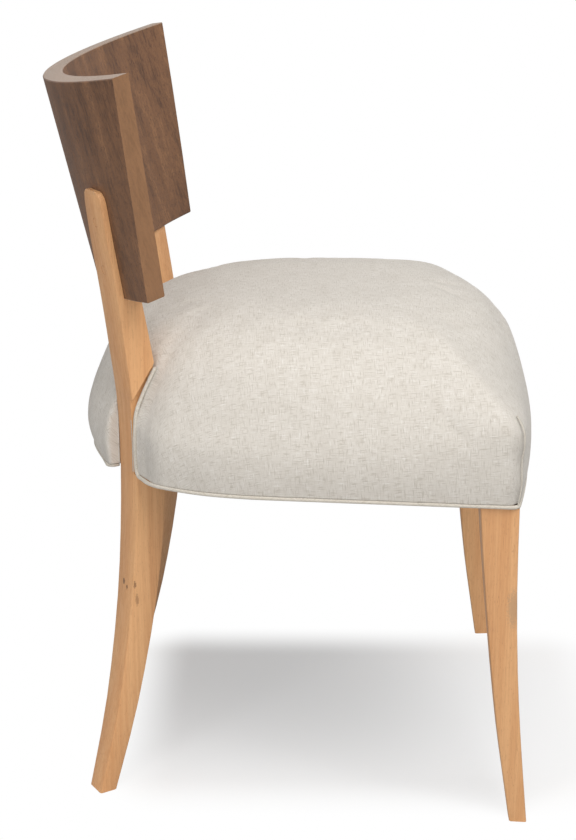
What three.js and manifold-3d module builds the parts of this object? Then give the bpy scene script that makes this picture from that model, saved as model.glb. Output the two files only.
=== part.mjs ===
// Klismos dining chair: sabre legs, a flared curved back panel and a thick tight seat.
// Millimetres, +Z up. The front faces -Y, the sitter's left is +X, the feet stand on Z = 0.

import * as THREE from 'three';
import { mergeVertices } from 'three/addons/utils/BufferGeometryUtils.js';
import Module from 'manifold-3d';

const wasm = await Module();
wasm.setup();

const degrees = Math.PI / 180;

// Clearances
const fitGap = 0.3;
const overrun = 60;

// Back panel: a bent panel on an oblique cone, tilted back
const overallHeight = 751;
const panelThickness = 20.4;
const panelTilt = 13.9 * degrees;
const panelDrop = 212.7;
const panelTopCentreY = 2.5;
const panelBottomShift = 41.6;
const panelTopRadius = 253;
const panelBottomRadius = 296;
const panelTopHalfAngle = 48.8 * degrees;
const panelBottomHalfAngle = 38.5 * degrees;
const panelArris = 0.9;
const panelStations = 40;

// Rear legs: each is sawn from one board that stands square to the back panel's curve
const boardAngle = 32.9 * degrees;
const boardX = 134.1;
const boardY = 140;
const boardWidth = 40;
const tongueDrop = 116;
const rearLegHeight = overallHeight - tongueDrop;
const rearFootSweep = 89;
const rearLegArris = 2.2;
const tongueCornerRadius = 10;
const tongueCornerShares = [0, 0.333, 0.667, 0.911];
const rearLegStations = 24;

// Height, front edge, rear edge and width, as shares of the leg's height, foot sweep and board width
const rearLegShares = [
  [0, 0.787, 1, 0.62],
  [0.148, 0.463, 0.728, 0.73],
  [0.323, 0.191, 0.526, 0.81],
  [0.488, 0.05, 0.422, 0.915],
  [0.63, 0.056, 0.415, 0.938],
  [0.733, 0.157, 0.494, 0.94],
  [0.835, 0.292, 0.583, 0.985],
  [0.921, 0.408, 0.679, 0.98],
  [1, 0.515, 0.763, 0.91],
];

// Housing in the outer face of the rear leg, where the seat cover goes in
const housingDepth = 6;
const housingFrontReach = 13.4;
const housingFrontHeight = 460;
const housingRearReach = 37.1;
const housingRearHeight = 426.5;

// Front legs
const frontLegSection = 38;
const frontLegFaceY = -204.4;
const frontFootSweep = 20.4;
const frontLegArris = 2;
const frontRebateMargin = 1.6;
const frontLegStations = 12;

// Height, forward sweep and section, as shares of the leg's height, foot sweep and top section
const frontLegShares = [
  [0, 1, 0.46],
  [0.122, 0.76, 0.53],
  [0.261, 0.5, 0.61],
  [0.436, 0.24, 0.69],
  [0.653, 0.05, 0.82],
  [0.872, 0, 0.985],
  [1, 0, 1],
];

// Seat outline, at the lower edge of the cover
const seatFrontHalf = 236.4;
const seatWaistHalf = 217.2;
const seatCornerY = -204;
const seatRoundStart = 20;
const seatRoundDepth = 208;
const frontBow = 26;
const frontCornerRadius = 8;
const sideBulge = 3.6;
const rearBulge = 7.5;

// Rear half of the outline: x and y as shares of the waist and the round's depth, then the bulge share
const rearOutlineShares = [
  [1, 0, 0.4],
  [0.984, 0.169, 0.4],
  [0.938, 0.405, 0.38],
  [0.904, 0.501, 0.33],
  [0.876, 0.568, 0.27],
  [0.848, 0.624, 0.2],
  [0.806, 0.671, 0.12],
  [0.747, 0.708, 0.05],
  [0.672, 0.798, 0.2],
  [0.589, 0.873, 0.5],
  [0.46, 0.923, 0.8],
  [0.262, 0.984, 0.95],
  [0, 1, 1],
];

// Seat heights
const seatEdgeHeight = 345;
const seatWallHeight = 41;
const seatCrownRise = 119.8;
const seatShoulderHeight = seatEdgeHeight + seatWallHeight;
const seatCrownHeight = seatShoulderHeight + seatCrownRise;
const crownCentreY = -4;
const coverThickness = 1.5;
const weltRadius = 2;
const weltSides = 8;
const coverEdgeInset = 0.8;

// Wall rings: height share between the edge and the shoulder, then the share of the bulge
const wallShares = [
  [0, 0],
  [0.5, 0.95],
  [1, 0.85],
];

// Points of the straight runs of the outline, as shares of the front half and of the side
const frontOutlineShares = [0, 0.22, 0.44, 0.66, 0.86];
const sideOutlineShares = [0.25, 0.5, 0.75];
const rearOutlineSteps = 13;
// Crown rings: reach from the crown's middle, then rise from the shoulder to the crown.
// The sides and the rear are rounder than the front by these powers.
const sideRounding = 0.5;
const rearRounding = 0.25;
const crownShares = [
  [0.968, 0.25],
  [0.928, 0.485],
  [0.882, 0.69],
  [0.805, 0.86],
  [0.6, 0.972],
];

// Seat frame
const railAboveShoulder = 6;
const railBottom = seatEdgeHeight + weltRadius;
const railTop = seatShoulderHeight + railAboveShoulder;
const frameInset = 4.6;
const railThickness = 26;
const rearRailInset = 13;
const blockBottomInset = 5;
const blockTopInset = 2;
const blockBottom = railBottom + blockBottomInset;
const blockTop = railTop - blockTopInset;
const frontBlockX = 96;
const frontBlockY = -76;
const rearBlockFace = 13;
const rearBlockOuter = 34;
const rearBlockInner = 82;

// Tenons on the rails' ends
const tenonThickness = 10;
const tenonDepth = 12;
const tenonShoulder = 8;
const tenonWall = 3;
const tenonBottom = railBottom + tenonShoulder;
const tenonTop = railTop - tenonShoulder;
const rearTenonBack = 23;

// Corner block screws
const blockScrewRadius = 2.5;
const blockScrewHeadRadius = 5;
const blockScrewHeadDepth = 4;
const blockScrewLength = 42;
const blockScrewPitch = 16;

// Screws through the tongues, and the plugs over them
const panelScrewRadius = 2;
const panelScrewHeadRadius = 3.8;
const panelScrewHeadDepth = 2.4;
const panelScrewLength = 17;
const plugRadius = 4.4;
const plugDepth = 2;
const panelScrewDrops = [80, 32];

// Webbing and cloths
const webbingWidth = 50;
const webbingThickness = 1.2;
const webbingPitch = 72;
const lengthwiseCount = 3;
const crosswiseCount = 4;
const crosswiseMiddleY = -32;
const webbingInset = 15;
const clothThickness = 0.8;
const platformInset = 9;
const dustCoverInset = 5.2;

const up = new THREE.Vector3(0, 0, 1);

// Finishes
const finishes = {
  walnut: [0x82624a, 0.45],
  beech: [0xde9f6e, 0.5],
  innerBeech: [0xd8b48a, 0.7],
  linen: [0xdcd6cb, 0.95],
  steel: [0x9a9a98, 0.35],
  foam: [0xe9dfae, 0.9],
  jute: [0xa98b5c, 0.95],
  blackCloth: [0x2c2b2a, 0.95],
};

// Solids and booleans

function clean(geometry) {
  const bare = geometry.index ? geometry.clone() : geometry;
  bare.deleteAttribute('normal');
  bare.deleteAttribute('uv');
  return mergeVertices(bare, 1e-4);
}

function signedVolume(geometry) {
  const place = geometry.attributes.position;
  const corner = [new THREE.Vector3(), new THREE.Vector3(), new THREE.Vector3()];
  let sum = 0;
  for (let i = 0; i < geometry.index.count; i += 3) {
    corner.forEach((point, k) => point.fromBufferAttribute(place, geometry.index.getX(i + k)));
    sum += corner[0].dot(corner[1].clone().cross(corner[2]));
  }
  return sum;
}

function outward(geometry) {
  if (signedVolume(geometry) > 0) return geometry;
  const list = Array.from(geometry.index.array);
  for (let i = 0; i < list.length; i += 3) {
    [list[i + 1], list[i + 2]] = [list[i + 2], list[i + 1]];
  }
  geometry.setIndex(list);
  return geometry;
}

function solid(geometry) {
  const closed = outward(clean(geometry));
  return new wasm.Manifold(new wasm.Mesh({
    numProp: 3,
    vertProperties: new Float32Array(closed.attributes.position.array),
    triVerts: new Uint32Array(closed.index.array),
  }));
}

function geometryOf(body) {
  const mesh = body.getMesh();
  const geometry = new THREE.BufferGeometry();
  geometry.setAttribute('position', new THREE.BufferAttribute(new Float32Array(mesh.vertProperties), 3));
  geometry.setIndex(Array.from(mesh.triVerts));
  return geometry;
}

function mirrored(geometry) {
  return outward(clean(geometry).scale(-1, 1, 1));
}

// A closed skin over rings that all have as many points, with a fan on each end.
function loft(rings, tip) {
  const count = rings[0].length;
  const points = rings.flat();
  const index = [];
  for (let j = 0; j + 1 < rings.length; j += 1) {
    for (let i = 0; i < count; i += 1) {
      const a = j * count + i;
      const b = j * count + ((i + 1) % count);
      index.push(a, b, b + count, a, b + count, a + count);
    }
  }
  [0, rings.length - 1].forEach((j) => {
    const middle = points.length;
    const centre = new THREE.Vector3();
    rings[j].forEach((point) => centre.addScaledVector(point, 1 / count));
    points.push(j > 0 && tip ? tip : centre);
    for (let i = 0; i < count; i += 1) {
      const a = j * count + i;
      const b = j * count + ((i + 1) % count);
      if (j === 0) index.push(b, a, middle);
      else index.push(a, b, middle);
    }
  });
  const geometry = new THREE.BufferGeometry().setFromPoints(points);
  geometry.setIndex(index);
  return outward(geometry);
}

// A cylinder from one point towards a direction.
function rod(start, direction, length, radius, sides) {
  const geometry = new THREE.CylinderGeometry(radius, radius, length, sides);
  const turn = new THREE.Quaternion().setFromUnitVectors(new THREE.Vector3(0, 1, 0), direction);
  geometry.applyQuaternion(turn);
  const middle = start.clone().addScaledVector(direction, length / 2);
  return geometry.translate(middle.x, middle.y, middle.z);
}

// A countersunk screw whose head's face lies at the start point.
function screw(start, direction, size) {
  const taper = size.radius * 2;
  const profile = [
    new THREE.Vector2(0, 0),
    new THREE.Vector2(size.headRadius, 0),
    new THREE.Vector2(size.radius, size.headDepth),
    new THREE.Vector2(size.radius, size.length - taper),
    new THREE.Vector2(0, size.length),
  ];
  const geometry = new THREE.LatheGeometry(profile, size.sides);
  const turn = new THREE.Quaternion().setFromUnitVectors(new THREE.Vector3(0, 1, 0), direction);
  geometry.applyQuaternion(turn);
  return geometry.translate(start.x, start.y, start.z);
}

// A flat plate from a plan outline between two heights.
function plate(outline, bottom, top) {
  const shape = new THREE.Shape(outline.map((point) => new THREE.Vector2(point.x, point.y)));
  const geometry = new THREE.ExtrudeGeometry(shape, { depth: top - bottom, bevelEnabled: false });
  return geometry.translate(0, 0, bottom);
}

// Values from a table of shares, spaced evenly along a smooth curve through its rows.
function rowsBetween(table, steps) {
  const columns = table[0].length - 1;
  const curves = Array.from({ length: columns }, (_, k) => new THREE.SplineCurve(
    table.map((row) => new THREE.Vector2(row[0], row[k + 1])),
  ));
  return Array.from({ length: steps + 1 }, (_, i) => {
    const spots = curves.map((curve) => curve.getPoint(i / steps));
    return [spots[0].x, ...spots.map((spot) => spot.y)];
  });
}

// A rectangle with softened corners, as points in the plane of its two sides.
function softRectangle(lowA, highA, lowB, highB, arris) {
  const ring = [];
  const corners = [[highA, highB, 0], [lowA, highB, 1], [lowA, lowB, 2], [highA, lowB, 3]];
  corners.forEach(([a, b, quarter]) => {
    const centreA = a === highA ? a - arris : a + arris;
    const centreB = b === highB ? b - arris : b + arris;
    [0, 0.5, 1].forEach((share) => {
      const angle = (quarter + share) * 90 * degrees;
      ring.push([centreA + arris * Math.cos(angle), centreB + arris * Math.sin(angle)]);
    });
  });
  return ring;
}

// Back panel

const tiltBack = new THREE.Vector3(0, Math.cos(panelTilt), -Math.sin(panelTilt));
const tiltUp = new THREE.Vector3(0, Math.sin(panelTilt), Math.cos(panelTilt));
const panelTopCentre = new THREE.Vector3(
  0,
  panelTopCentreY,
  overallHeight + panelTopRadius * Math.cos(panelTopHalfAngle) * Math.sin(panelTilt),
);

// A point of the panel: its angle from the middle, its share of the drop, and its depth behind the inner face.
function panelPoint(angle, drop, depth) {
  const radius = THREE.MathUtils.lerp(panelTopRadius, panelBottomRadius, drop) + depth;
  const point = panelTopCentre.clone();
  point.addScaledVector(tiltUp, -drop * panelDrop);
  point.addScaledVector(tiltBack, radius * Math.cos(angle) - drop * panelBottomShift);
  point.x += radius * Math.sin(angle);
  return point;
}

// The panel's skin between two depths; the reach past its edges is zero for the piece itself.
function panelSkin({ front, rear, above, below, endAngles }) {
  const top = -above / panelDrop;
  const bottom = 1 + below / panelDrop;
  const step = panelArris / panelDrop;
  const drops = [0, 0.33, 0.67, 1].map((share) => THREE.MathUtils.lerp(top + step, bottom - step, share));
  const section = [
    ...drops.map((drop) => [drop, front]),
    [bottom, front + panelArris],
    [bottom, rear - panelArris],
    ...drops.map((drop) => [drop, rear]).reverse(),
    [top, rear - panelArris],
    [top, front + panelArris],
  ];
  return loft(Array.from({ length: panelStations + 1 }, (_, i) => {
    const side = 2 * i / panelStations - 1;
    return section.map(([drop, depth]) => (
      panelPoint(side * THREE.MathUtils.lerp(endAngles[0], endAngles[1], drop), drop, depth)
    ));
  }));
}

const panelBlank = solid(panelSkin({
  front: 0,
  rear: panelThickness,
  above: 0,
  below: 0,
  endAngles: [panelTopHalfAngle, panelBottomHalfAngle],
}));
const panelCutter = solid(panelSkin({
  front: -overrun,
  rear: panelThickness + fitGap,
  above: overrun,
  below: fitGap,
  endAngles: [1.2 * panelTopHalfAngle, 1.2 * panelTopHalfAngle],
}));

// Rear legs, made on the left side and mirrored

const boardOut = new THREE.Vector3(Math.cos(boardAngle), -Math.sin(boardAngle), 0);
const boardBack = new THREE.Vector3(Math.sin(boardAngle), Math.cos(boardAngle), 0);

// A point in the board: inward from its outer face, backward from its datum, and its height.
function boardPoint(inward, back, height) {
  const point = new THREE.Vector3(boardX, boardY, height);
  point.addScaledVector(boardOut, -inward);
  return point.addScaledVector(boardBack, back);
}

// A straight prism in the board's frame, from an outline in backward reach and height.
function boardPrism(outline, fromInward, toInward) {
  return loft([fromInward, toInward].map((inward) => outline.map(([back, height]) => (
    boardPoint(inward, back, height)
  ))));
}

function rearLegRows() {
  const rows = rowsBetween(rearLegShares, rearLegStations).map(([height, front, rear, width]) => ({
    height: height * rearLegHeight,
    front: front * rearFootSweep,
    rear: rear * rearFootSweep,
    width: width * boardWidth,
    round: 0,
  }));
  const last = rows[rows.length - 1];
  const before = rows.filter((row) => row.height < rearLegHeight - tongueCornerRadius);
  const slope = (last.rear - before[before.length - 1].rear)
    / (last.height - before[before.length - 1].height);
  const corner = tongueCornerShares.map((share) => {
    const angle = share * 90 * degrees;
    const drop = tongueCornerRadius * (1 - Math.sin(angle));
    return {
      ...last,
      height: last.height - drop,
      front: last.front - drop * slope,
      rear: last.rear - drop * slope,
      round: tongueCornerRadius * (1 - Math.cos(angle)),
    };
  });
  return [...before, ...corner];
}

function rearLegSkin(grow, rearGrow) {
  return loft(rearLegRows().map(({ height, front, rear, width, round }) => (
    softRectangle(round - grow, width - round + grow, front - grow, rear + grow + rearGrow, rearLegArris)
      .map(([inward, back]) => boardPoint(inward, back, height))
  )));
}

function rearEdgeAt(height) {
  const rows = rearLegRows();
  const above = rows.findIndex((row) => row.height >= height);
  const low = rows[above - 1];
  const high = rows[above];
  const share = (height - low.height) / (high.height - low.height);
  return {
    back: THREE.MathUtils.lerp(low.rear, high.rear, share),
    width: THREE.MathUtils.lerp(low.width, high.width, share),
    slope: (high.rear - low.rear) / (high.height - low.height),
  };
}

// The slanting shoulder of the housing runs on past both faces of the board.
const housingSlope = (housingRearHeight - housingFrontHeight) / (housingRearReach - housingFrontReach);
function housingHeightAt(back) {
  return housingRearHeight + housingSlope * (back - housingRearReach);
}

function housingOutline(rearEnd, lowering) {
  const frontEnd = -overrun / 2;
  return [
    [frontEnd, seatEdgeHeight],
    [rearEnd, seatEdgeHeight],
    [rearEnd, housingHeightAt(rearEnd) - lowering],
    [frontEnd, housingHeightAt(frontEnd) - lowering],
  ];
}
const housing = solid(
  boardPrism(housingOutline(housingRearReach + rearLegArris, 0), -overrun / 2, housingDepth),
);

// Panel screws and plugs, square to the rear face of the tongue
const panelFixings = panelScrewDrops.map((drop) => {
  const height = rearLegHeight - drop;
  const { back, width, slope } = rearEdgeAt(height);
  const face = boardPoint(width / 2, back, height);
  const inward = boardBack.clone().multiplyScalar(-1).addScaledVector(up, slope).normalize();
  return { face, inward };
});
const panelScrewSize = {
  radius: panelScrewRadius,
  headRadius: panelScrewHeadRadius,
  headDepth: panelScrewHeadDepth,
  length: panelScrewLength,
  sides: 10,
};
const panelScrewStart = plugDepth + 2 * fitGap;

function panelFixingBores(place) {
  const { face, inward } = place;
  const back = face.clone().addScaledVector(inward, -overrun / 8);
  const wide = rod(back, inward, overrun / 8 + panelScrewStart, plugRadius + fitGap, 12);
  const start = face.clone().addScaledVector(inward, panelScrewStart - fitGap);
  const narrow = screw(start, inward, {
    ...panelScrewSize,
    radius: panelScrewRadius + fitGap,
    headRadius: panelScrewHeadRadius + fitGap,
    length: panelScrewLength + 3 * fitGap,
  });
  return solid(wide).add(solid(narrow));
}

// Seat outline: x and y of the left half, with the bulge of the wall in z

const sideSlope = (seatFrontHalf - seatWaistHalf) / (seatRoundStart - seatCornerY);

function sideHalfAt(y) {
  return seatFrontHalf - sideSlope * (y - seatCornerY);
}

function frontYAt(x) {
  return seatCornerY - frontBow * (1 - (x / seatFrontHalf) ** 2);
}

const rearCurve = new THREE.CatmullRomCurve3(rearOutlineShares.map(([x, y, share]) => (
  new THREE.Vector3(x * seatWaistHalf, seatRoundStart + y * seatRoundDepth, share * rearBulge)
)));

// The left half of the outline from the front's middle to the rear's, moved inward by an inset.
function halfOutline(inset, rearSteps) {
  const half = seatFrontHalf - inset;
  const radius = Math.max(frontCornerRadius - inset, frontCornerRadius / 8);
  const inner = half - radius;
  const sideStart = seatCornerY + inset + radius;
  const front = frontOutlineShares.map((share) => (
    new THREE.Vector3(inner * share, frontYAt(inner * share) + inset, sideBulge)
  ));
  const corner = new THREE.QuadraticBezierCurve3(
    new THREE.Vector3(inner, frontYAt(inner) + inset, sideBulge),
    new THREE.Vector3(half, seatCornerY + inset, sideBulge),
    new THREE.Vector3(sideHalfAt(sideStart) - inset, sideStart, sideBulge),
  ).getPoints(3);
  const side = sideOutlineShares.map((share) => {
    const y = THREE.MathUtils.lerp(sideStart, seatRoundStart, share);
    return new THREE.Vector3(sideHalfAt(y) - inset, y, sideBulge);
  });
  const rear = rearCurve.getSpacedPoints(rearSteps).map((point, i) => {
    const along = rearCurve.getTangentAt(i / rearSteps);
    const outside = new THREE.Vector3(along.y, -along.x, 0).normalize();
    return point.addScaledVector(outside, -inset);
  });
  return [...front, ...corner, ...side, ...rear];
}

// The whole outline, counterclockwise from the front's middle.
function insetOutline(inset) {
  const half = halfOutline(inset, rearOutlineSteps);
  return [
    ...half,
    ...half.slice(1, -1).reverse().map((point) => new THREE.Vector3(-point.x, point.y, point.z)),
  ];
}

const outline = insetOutline(0);

const outlineNormals = outline.map((_, i) => {
  const before = outline[(i + outline.length - 1) % outline.length];
  const after = outline[(i + 1) % outline.length];
  return new THREE.Vector3(after.y - before.y, before.x - after.x, 0).normalize();
});

// The crowned body of the seat, shrunk all round for the layers inside the cover.
function seatSkin(shrink, edgeHeight, edgeReach) {
  const rings = wallShares.map(([rise, bulge]) => outline.map((point, i) => {
    const ring = new THREE.Vector3(point.x, point.y, 0);
    ring.addScaledVector(outlineNormals[i], point.z * bulge - coverEdgeInset - shrink);
    ring.z = THREE.MathUtils.lerp(edgeHeight, seatShoulderHeight, rise);
    return ring;
  }));
  const shoulder = rings[rings.length - 1];
  const rise = seatCrownHeight - seatShoulderHeight - shrink;
  const roundY = seatRoundStart + seatRoundDepth;
  crownShares.forEach(([share, riseShare]) => {
    rings.push(shoulder.map((point) => {
      const along = new THREE.Vector3(point.x, point.y - crownCentreY, 0);
      const reach = along.length();
      along.normalize();
      const roundReach = 1 / Math.hypot(along.x / seatFrontHalf, along.y / roundY);
      const fullness = share ** (1 + sideRounding * along.x ** 2 + rearRounding * Math.max(along.y, 0) ** 2);
      const radius = fullness * THREE.MathUtils.lerp(reach, roundReach, 1 - share ** 3);
      return new THREE.Vector3(
        along.x * radius,
        crownCentreY + along.y * radius,
        seatShoulderHeight + rise * riseShare,
      );
    }));
  });
  if (edgeReach > 0) rings.unshift(rings[0].map((point) => point.clone().addScaledVector(up, -edgeReach)));
  return loft(rings, new THREE.Vector3(0, crownCentreY, seatShoulderHeight + rise));
}

const rearLegPlain = solid(rearLegSkin(0, 0));
const rearLegCutter = solid(rearLegSkin(fitGap, 0));
const rearCutters = [rearLegCutter, solid(mirrored(geometryOf(rearLegCutter)))];

function without(body, cutters) {
  return cutters.reduce((rest, cutter) => rest.subtract(cutter), body);
}

// Front legs: square in section, turned with the seat's side

const frontLegHalf = sideHalfAt(frontLegFaceY + frontLegSection / 2) - frameInset;

function frontLegSkin(grow) {
  const rows = rowsBetween(frontLegShares, frontLegStations);
  return loft(rows.map(([height, sweep, section]) => {
    const front = frontLegFaceY - sweep * frontFootSweep;
    const size = section * frontLegSection;
    return softRectangle(
      frontLegHalf - size - grow,
      frontLegHalf + grow,
      front - grow,
      front + size + grow,
      frontLegArris,
    ).map(([x, y]) => new THREE.Vector3(x - sideSlope * (y - front - size / 2), y, height * railTop));
  }));
}

// The leg's front is cut back where the seat cover and its piping pass in front of it.
const frontRebate = box(
  0,
  seatFrontHalf + overrun,
  seatCornerY - overrun,
  seatCornerY + frameInset + frontRebateMargin,
  seatEdgeHeight - weltRadius - fitGap,
  railTop + overrun,
);
const frontLegPlain = solid(frontLegSkin(0)).subtract(frontRebate);
const frontLegCutter = solid(frontLegSkin(fitGap));
const frontCutters = [frontLegCutter, solid(mirrored(geometryOf(frontLegCutter)))];

// Tenons and their mortises on the left side

const legInnerX = frontLegHalf - frontLegSection;
const legRearY = frontLegFaceY + frontLegSection;
const frontTenonY = seatCornerY + frameInset + frontRebateMargin + tenonWall + tenonThickness / 2;
const sideTenonX = sideHalfAt(legRearY) - frameInset - railThickness / 2;
const frameReach = 2 * seatFrontHalf;
const housedHeight = (tenonBottom + tenonTop) / 2;
const housedWidth = rearEdgeAt(housedHeight).width;

function box(lowX, highX, lowY, highY, lowZ, highZ) {
  const geometry = new THREE.BoxGeometry(highX - lowX, highY - lowY, highZ - lowZ);
  return solid(geometry.translate((lowX + highX) / 2, (lowY + highY) / 2, (lowZ + highZ) / 2));
}

function boardBox(lowInward, highInward, lowBack, highBack, lowZ, highZ) {
  const corners = [[lowBack, lowZ], [highBack, lowZ], [highBack, highZ], [lowBack, highZ]];
  return solid(boardPrism(corners, lowInward, highInward));
}

// A tenon runs from inside its rail, over the seam, into the leg; a mortise is the same, a little larger.
function tenons(grow) {
  const half = tenonThickness / 2 + grow;
  const depth = tenonDepth + grow;
  const heights = [tenonBottom - grow, tenonTop + grow];
  const back = [rearTenonBack - half, rearTenonBack + half];
  return {
    front: box(legInnerX - tenonDepth, legInnerX + depth, frontTenonY - half, frontTenonY + half, ...heights),
    side: box(sideTenonX - half, sideTenonX + half, legRearY - depth, legRearY + tenonDepth, ...heights),
    housed: boardBox(housingDepth - tenonDepth, housingDepth + depth, ...back, ...heights),
    rear: boardBox(housedWidth - depth, housedWidth + tenonDepth, ...back, ...heights),
  };
}

const tenonsLeft = tenons(0);
const mortises = tenons(fitGap);

function mirroredBody(body) {
  return solid(mirrored(geometryOf(body)));
}

// Corner blocks: cut to the frame and round the leg, with screws square to the long face

const insideFrame = solid(plate(insetOutline(frameInset + railThickness + fitGap), railBottom, railTop));

function blockBody(shape, cutter) {
  return shape.intersect(insideFrame).subtract(cutter);
}

const frontBlockCorners = [
  new THREE.Vector2(frontBlockX, seatCornerY - frontBow),
  new THREE.Vector2(seatFrontHalf, seatCornerY - frontBow),
  new THREE.Vector2(seatFrontHalf, frontBlockY),
];

const blockScrewSize = {
  radius: blockScrewRadius,
  headRadius: blockScrewHeadRadius,
  headDepth: blockScrewHeadDepth,
  length: blockScrewLength,
  sides: 10,
};

// Screws start on the block's long face, opposite the leg, and run towards the leg.
function blockScrewPair(start, into) {
  const middle = (blockBottom + blockTop) / 2;
  return [0.5, -0.5].map((share) => ({
    start: new THREE.Vector3(start.x, start.y, middle + share * blockScrewPitch),
    into,
  }));
}

const frontBlockAlong = new THREE.Vector3(
  seatFrontHalf - frontBlockX,
  frontBlockY - seatCornerY + frontBow,
  0,
).normalize();
const frontBlockInto = new THREE.Vector3(frontBlockAlong.y, -frontBlockAlong.x, 0);
const frontBlockFace = new THREE.Vector3(frontBlockX, seatCornerY - frontBow, 0);
const frontBlockReach = new THREE.Vector3(legInnerX, legRearY, 0).sub(frontBlockFace).dot(frontBlockAlong);
frontBlockFace.addScaledVector(frontBlockAlong, frontBlockReach);
const rearScrewInward = (housingDepth + housedWidth) / 2;
const blockScrews = [
  ...blockScrewPair(frontBlockFace, frontBlockInto),
  ...blockScrewPair(boardPoint(rearScrewInward, -rearBlockFace, 0), boardBack),
];

function blockScrewBore({ start, into }) {
  const face = start.clone().addScaledVector(into, -overrun / 6);
  const bore = solid(rod(face, into, overrun / 6 + fitGap / 3, blockScrewHeadRadius + fitGap, 10));
  return bore.add(solid(screw(start.clone().addScaledVector(into, fitGap / 6), into, {
    ...blockScrewSize,
    radius: blockScrewRadius + fitGap,
    headRadius: blockScrewHeadRadius + fitGap,
    length: blockScrewLength + 3 * fitGap,
  })));
}
const blockBores = blockScrews.map(blockScrewBore);
const blockScrewBodies = blockScrews.map(({ start, into }) => (
  solid(screw(start.clone().addScaledVector(into, fitGap / 2), into, blockScrewSize))
));

// Finished legs and panel
const panelBores = panelFixings.map(panelFixingBores);
const rearLegLeft = without(
  rearLegPlain.subtract(panelCutter).subtract(housing),
  [...panelBores, mortises.housed, mortises.rear, ...blockBores],
);
const frontLegLeft = without(frontLegPlain, [mortises.front, mortises.side, ...blockBores]);
const backPanel = without(panelBlank, [...panelBores, ...panelBores.map(mirroredBody)]);

// Rails: each is a stretch of a band that follows the seat's outline

function band(outerInset) {
  const outer = solid(plate(insetOutline(outerInset), railBottom, railTop));
  const hole = solid(plate(insetOutline(frameInset + railThickness), railBottom - overrun, railTop + overrun));
  return outer.subtract(hole);
}

function within(...reach) {
  return box(...reach, railBottom - overrun, railTop + overrun);
}

function withinBoard(...reach) {
  return boardBox(...reach, railBottom - overrun, railTop + overrun);
}

const frontRailReach = legInnerX + sideSlope * frontLegSection / 2;
const frontRail = without(band(frameInset), frontCutters)
  .intersect(within(-frontRailReach, frontRailReach, -frameReach, legRearY))
  .add(tenonsLeft.front)
  .add(mirroredBody(tenonsLeft.front));
const weltChannel = 2 * weltRadius + 2 * fitGap;
const outsideBoard = withinBoard(
  -frameReach,
  housingDepth - fitGap,
  -frameReach,
  housingRearReach - weltChannel - fitGap,
);
const sideRailLeft = band(frameInset)
  .intersect(within(0, frameReach, legRearY + fitGap, frameReach))
  .intersect(outsideBoard)
  .add(tenonsLeft.side)
  .add(tenonsLeft.housed);
const insideBoard = withinBoard(housedWidth + fitGap, 2 * frameReach, -frameReach, frameReach);
const rearRail = band(rearRailInset)
  .intersect(insideBoard)
  .intersect(mirroredBody(insideBoard))
  .add(tenonsLeft.rear)
  .add(mirroredBody(tenonsLeft.rear));

const frontBlockLeft = without(
  blockBody(solid(plate(frontBlockCorners, blockBottom, blockTop)), frontLegCutter),
  blockBores,
);
const rearBlockShape = boardBox(
  -rearBlockOuter,
  rearBlockInner,
  -rearBlockFace,
  housingRearReach,
  blockBottom,
  blockTop,
);
const rearBlockLeft = without(blockBody(rearBlockShape, rearLegCutter), blockBores);

// Webbing: straps woven over and under each other, on top of the rails

const webbingHalf = (webbingThickness + fitGap) / 2;
const webbingLevel = railTop + fitGap + webbingThickness / 2 + webbingHalf;
const webbingField = solid(plate(insetOutline(webbingInset), railTop, railTop + overrun));

function strapSpots(count, middle) {
  return Array.from({ length: count }, (_, i) => middle + (i - (count - 1) / 2) * webbingPitch);
}

// The edge of a strap as it rises and falls; parity says which crossings it goes over.
function strapEdge(crossings, parity) {
  const half = webbingWidth / 2;
  const low = webbingLevel - webbingHalf;
  const last = crossings[crossings.length - 1];
  const spots = [[-frameReach, low], [crossings[0] - webbingPitch + half, low]];
  crossings.forEach((spot, j) => {
    const level = webbingLevel + ((j + parity) % 2 === 0 ? webbingHalf : -webbingHalf);
    spots.push([spot - half, level], [spot + half, level]);
  });
  spots.push([last + webbingPitch - half, low], [frameReach, low]);
  return spots;
}

function strap(crossings, parity, across) {
  const edge = strapEdge(crossings, parity);
  const half = webbingThickness / 2;
  const section = [
    ...edge.map(([along, level]) => [along, level - half]),
    ...edge.map(([along, level]) => [along, level + half]).reverse(),
  ];
  const sides = [across.middle - webbingWidth / 2, across.middle + webbingWidth / 2];
  const shape = new THREE.Shape(section.map(([along, level]) => new THREE.Vector2(along, level)));
  const geometry = new THREE.ExtrudeGeometry(shape, { depth: sides[1] - sides[0], bevelEnabled: false });
  const place = new THREE.Matrix4();
  if (across.axis === 'x') {
    place.makeBasis(new THREE.Vector3(0, 1, 0), up, new THREE.Vector3(1, 0, 0));
    place.setPosition(sides[0], 0, 0);
  } else {
    place.makeBasis(new THREE.Vector3(1, 0, 0), up, new THREE.Vector3(0, -1, 0));
    place.setPosition(0, sides[1], 0);
  }
  return solid(geometry.applyMatrix4(place)).intersect(webbingField);
}

const lengthwiseSpots = strapSpots(lengthwiseCount, 0);
const crosswiseSpots = strapSpots(crosswiseCount, crosswiseMiddleY);
const lengthwise = lengthwiseSpots.map((middle, i) => strap(crosswiseSpots, i, { axis: 'x', middle }));
const crosswise = crosswiseSpots.map((middle, j) => strap(lengthwiseSpots, j + 1, { axis: 'y', middle }));

// Piping: one run round the front and up the outer edge of each rear leg, one between the rear legs

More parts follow.
